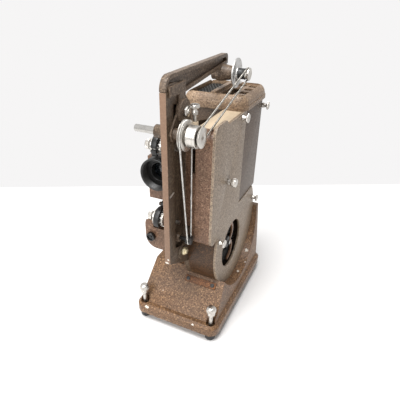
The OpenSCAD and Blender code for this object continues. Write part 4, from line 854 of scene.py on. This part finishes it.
coil, source, coil_marks = new_tree("wound_belt", {"Path": "Geometry", "Turns": "Int", "Points": "Int",
                                                   "Coil": "Float", "Wire": "Float", "Material": "Material"})
line = add(coil, "GeometryNodeMeshToCurve", Mesh=source["Path"])
even = add(coil, "GeometryNodeResampleCurve", Curve=line.outputs[0], Count=source["Points"])
along = add(coil, "GeometryNodeSplineParameter")
full_turns = add(coil, "ShaderNodeMath", {"operation": "MULTIPLY"}, i0=along.outputs["Factor"],
                 i1=source["Turns"])
angle = add(coil, "ShaderNodeMath", {"operation": "MULTIPLY"}, i0=full_turns.outputs[0], i1=2 * math.pi)
side_part = add(coil, "ShaderNodeMath", {"operation": "COSINE"}, i0=angle.outputs[0])
out_part = add(coil, "ShaderNodeMath", {"operation": "SINE"}, i0=angle.outputs[0])
tangent = add(coil, "GeometryNodeInputTangent")
outward = add(coil, "ShaderNodeVectorMath", {"operation": "CROSS_PRODUCT"}, i0=tangent.outputs[0], i1=ACROSS)
sideways = add(coil, "ShaderNodeVectorMath", {"operation": "SCALE"}, i0=ACROSS, Scale=side_part.outputs[0])
raised = add(coil, "ShaderNodeVectorMath", {"operation": "SCALE"}, i0=outward.outputs[0],
             Scale=out_part.outputs[0])
both = add(coil, "ShaderNodeVectorMath", {"operation": "ADD"}, i0=sideways.outputs[0], i1=raised.outputs[0])
swing = add(coil, "ShaderNodeVectorMath", {"operation": "SCALE"}, i0=both.outputs[0], Scale=source["Coil"])
wound = add(coil, "GeometryNodeSetPosition", Geometry=even.outputs[0], Offset=swing.outputs[0])
section = add(coil, "GeometryNodeCurvePrimitiveCircle", Resolution=WIRE_SIDES, Radius=source["Wire"])
wire = add(coil, "GeometryNodeCurveToMesh", Curve=wound.outputs[0], i1=section.outputs[0])
end_tree(coil, source, wire.outputs[0])
print("belt tree ready, a winding every", PITCH_MM, "mm")

# %% Belts in place
def belt_path(x, a, ra, b, rb, steps=40):
    """Points round two pulleys at a and b, each (y, z) in mm, at the belt's own radii."""
    run = math.dist(a, b)
    heading = math.atan2(b[1] - a[1], b[0] - a[0])
    lead = math.acos((ra - rb) / run)
    points = []
    for centre, radius, start, end in ((a, ra, heading + lead, heading + 2 * math.pi - lead),
                                       (b, rb, heading - lead, heading + lead)):
        for k in range(steps + 1):
            t = start + (end - start) * k / steps
            points.append((x, centre[0] + radius * math.cos(t), centre[1] + radius * math.sin(t)))
    return points


def wound_belt(node, a, ra, b, rb):
    """A spring belt in place of the plain tube of a node."""
    points = belt_path(middle_of(node)[0], a, ra, b, rb)
    length = sum(math.dist(p, q) for p, q in zip(points, points[1:] + points[:1]))
    turns = round(length / PITCH_MM)
    path = bpy.data.meshes.new(node + "_wound")
    edges = [(k, (k + 1) % len(points)) for k in range(len(points))]
    path.from_pydata([Vector(p) * MM for p in points], edges, [])
    obj = grown(node + "_wound", coil, coil_marks,
                {"Turns": turns, "Points": turns * POINTS_A_TURN, "Coil": COIL_MM * MM, "Wire": WIRE_MM * MM,
                 "Material": finish_of(node)}, path)
    rides_for(obj, node, smooth_deg=80)
    return round(length), turns


FRONT_AXIS, DRIVE_AXIS, REAR_AXIS = (axis_of(j)[1:] for j in ("front_spin", "drive_spin", "rear_spin"))
WHEEL_R, PULLEY_R = 14.7, 4.9
GROOVE_R, SHEAVE_R = 7.5, 6.9
print("lower belt, mm and turns:", wound_belt("lower_belt", FRONT_AXIS, WHEEL_R, DRIVE_AXIS, PULLEY_R))
print("upper belt, mm and turns:", wound_belt("upper_belt", FRONT_AXIS, GROOVE_R, REAR_AXIS, SHEAVE_R))

# %% [markdown]
# ## Expanded-metal grille
# The cap's grille is a dark sheet that was slit and pulled open, so its strands run in zigzags that
# meet at every other corner. One zigzag strand is drawn along the grille, a second one half a step on,
# and the pair is repeated across it.

# %% Grille tree
grille, source, grille_marks = new_tree("expanded_metal", {"Steps": "Int", "Step": "Float", "Swing": "Float",
                                                           "Pairs": "Int", "Strand": "Float",
                                                           "Place": "Vector", "Material": "Material"})
forward_step = add(grille, "ShaderNodeCombineXYZ", Y=source["Step"])
straight = add(grille, "GeometryNodeMeshLine", Count=source["Steps"], Offset=forward_step.outputs[0])
index = add(grille, "GeometryNodeInputIndex")
odd = add(grille, "ShaderNodeMath", {"operation": "MODULO"}, i0=index.outputs[0], i1=2.0)
even_part = add(grille, "ShaderNodeMath", {"operation": "SUBTRACT"}, i0=1.0, i1=odd.outputs[0])
profile = add(grille, "GeometryNodeCurvePrimitiveQuadrilateral", Width=source["Strand"],
              Height=source["Strand"])
strands = add(grille, "GeometryNodeJoinGeometry")
for swing, shift in ((odd, 0), (even_part, 1)):
    reach = add(grille, "ShaderNodeMath", {"operation": "MULTIPLY"}, i0=swing.outputs[0], i1=source["Swing"])
    start = add(grille, "ShaderNodeMath", {"operation": "MULTIPLY_ADD"}, i0=source["Swing"], i1=float(shift),
                i2=reach.outputs[0])
    offset = add(grille, "ShaderNodeCombineXYZ", X=start.outputs[0])
    zigzag = add(grille, "GeometryNodeSetPosition", Geometry=straight.outputs[0], Offset=offset.outputs[0])
    path = add(grille, "GeometryNodeMeshToCurve", Mesh=zigzag.outputs[0])
    strand = add(grille, "GeometryNodeCurveToMesh", Curve=path.outputs[0], i1=profile.outputs[0],
                 Fill_Caps=True)
    grille.links.new(strand.outputs[0], strands.inputs[0])
twice = add(grille, "ShaderNodeMath", {"operation": "MULTIPLY"}, i0=source["Swing"], i1=2.0)
across = add(grille, "ShaderNodeCombineXYZ", X=twice.outputs[0])
row = add(grille, "GeometryNodeMeshLine", Count=source["Pairs"], Offset=across.outputs[0])
repeated = add(grille, "GeometryNodeInstanceOnPoints", Points=row.outputs[0], Instance=strands.outputs[0])
placed = add(grille, "GeometryNodeTransform", Geometry=repeated.outputs[0], Translation=source["Place"])
end_tree(grille, source, placed.outputs[0])
print("grille tree has", len(grille.nodes), "nodes")

# %% Grille in place
STRAND_MM, STEP_MM, SWING_MM = 1.0, 4.2, 2.3
mesh_low, mesh_high = (Vector(c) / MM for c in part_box("cap_grille"))
mesh_size = mesh_high - mesh_low
steps = int((mesh_size.y - STRAND_MM) / STEP_MM) + 1
pairs = int((mesh_size.x - SWING_MM - STRAND_MM) / (2 * SWING_MM))
margin_x = (mesh_size.x - 2 * SWING_MM * pairs) / 2
margin_y = (mesh_size.y - STEP_MM * (steps - 1)) / 2
expanded = grown("cap_grille_mesh", grille, grille_marks,
                 {"Steps": steps, "Step": STEP_MM * MM, "Swing": SWING_MM * MM, "Pairs": pairs,
                  "Strand": STRAND_MM * MM, "Material": finish_of("cap_grille"),
                  "Place": [(mesh_low.x + margin_x) * MM, (mesh_low.y + margin_y) * MM,
                            (mesh_low.z + mesh_size.z / 2) * MM]})
rides_for(expanded, "cap_grille")
print("grille strands", pairs * 2, "of", steps, "steps")

# %% [markdown]
# ## The fan
# Behind the round opening turns a centrifugal fan: a thin back plate and hub, a ring of narrow vanes,
# and a brown curved strip across its face. The vanes repeat round the shaft, so a tree sets them.

# %% Fan
FAN_BACK, FAN_FRONT, FAN_R = 30.5, 41.5, 34.2
FAN_PLATE, FAN_ROUND = 1.5, 0.4
VANES, VANE_IN, VANE_OUT, VANE_MM = 40, 13.0, 33.8, 0.6
shaft = axis_of("motor_spin")
turned("fan", X, [shaft],
       [(FAN_BACK, 0), (FAN_BACK, FAN_R - FAN_ROUND), (FAN_BACK + FAN_ROUND, FAN_R),
        (FAN_BACK + FAN_PLATE - FAN_ROUND, FAN_R), (FAN_BACK + FAN_PLATE, FAN_R - FAN_ROUND),
        (FAN_BACK + FAN_PLATE, 12), (FAN_BACK + 3, 9.6), (FAN_FRONT - 2.5, 9.0), (FAN_FRONT - 1.2, 8.2),
        (FAN_FRONT - 0.6, 6), (FAN_FRONT - 0.6, 0)])
vanes, source, vane_marks = new_tree("fan_vanes", {"Count": "Int", "Radius": "Float", "Size": "Vector",
                                                   "Place": "Vector", "Turn": "Vector",
                                                   "Material": "Material"})
set_round(vanes, source, add(vanes, "GeometryNodeMeshCube", Size=source["Size"]))
# The vanes start just inside the plate and end behind the strip.
vane_x0, vane_x1 = FAN_BACK + FAN_PLATE - 0.1, FAN_FRONT - 3
ring = grown("fan_vanes", vanes, vane_marks,
             {"Count": VANES, "Radius": (VANE_IN + VANE_OUT) / 2 * MM,
              "Size": [(VANE_OUT - VANE_IN) * MM, VANE_MM * MM, (vane_x1 - vane_x0) * MM],
              "Place": [(vane_x0 + vane_x1) / 2 * MM, shaft[1] * MM, shaft[2] * MM], "Turn": ALONG_X,
              "Material": finish_of("fan")})
rides_for(ring, "fan", hides=False)
print("fan vanes", VANES)

# %% [markdown]
# ## The strip on the fan
# The curved brown strip is bent from flat stock. Two half circles describe it, so a loop sets a small
# four-cornered section along each of them and joins the sections with faces.

# %% Fan strip
# The strip is two half rings that meet at the shaft, one above it and one below.
STRIP_R, STRIP_W, STRIP_T, STRIP_STEPS = 15.1, 4.0, 2.4, 24
STRIP_TONES = ("#3d2b1f", "#6d4f3a", "#8a6850", "#b08a6d")
section = [(-1, FAN_FRONT - STRIP_T), (1, FAN_FRONT - STRIP_T), (1, FAN_FRONT), (-1, FAN_FRONT)]
strip = bmesh.new()
for half in (1, -1):
    rows = []
    for k in range(STRIP_STEPS + 1):
        angle = math.pi * k / STRIP_STEPS
        outward = Vector((math.sin(angle), -half * math.cos(angle)))
        row = []
        for edge, x in section:
            flat = Vector((0, half * STRIP_R)) + outward * (STRIP_R + edge * STRIP_W / 2)
            row.append(strip.verts.new(Vector((x, shaft[1] + flat.x, shaft[2] + flat.y)) * MM))
        rows.append(row)
    for near, far in zip(rows, rows[1:]):
        for k in range(4):
            strip.faces.new((near[k], near[(k + 1) % 4], far[(k + 1) % 4], far[k]))
    strip.faces.new(rows[0])
    strip.faces.new(rows[-1])
bmesh.ops.recalc_face_normals(strip, faces=strip.faces)
fan_strip = shape_object("fan_strip", strip, hammered_enamel("brown_fan_strip", STRIP_TONES, rough=0.35))
rides_for(fan_strip, "fan", hides=False)
print("fan strip", STRIP_W, "mm wide")
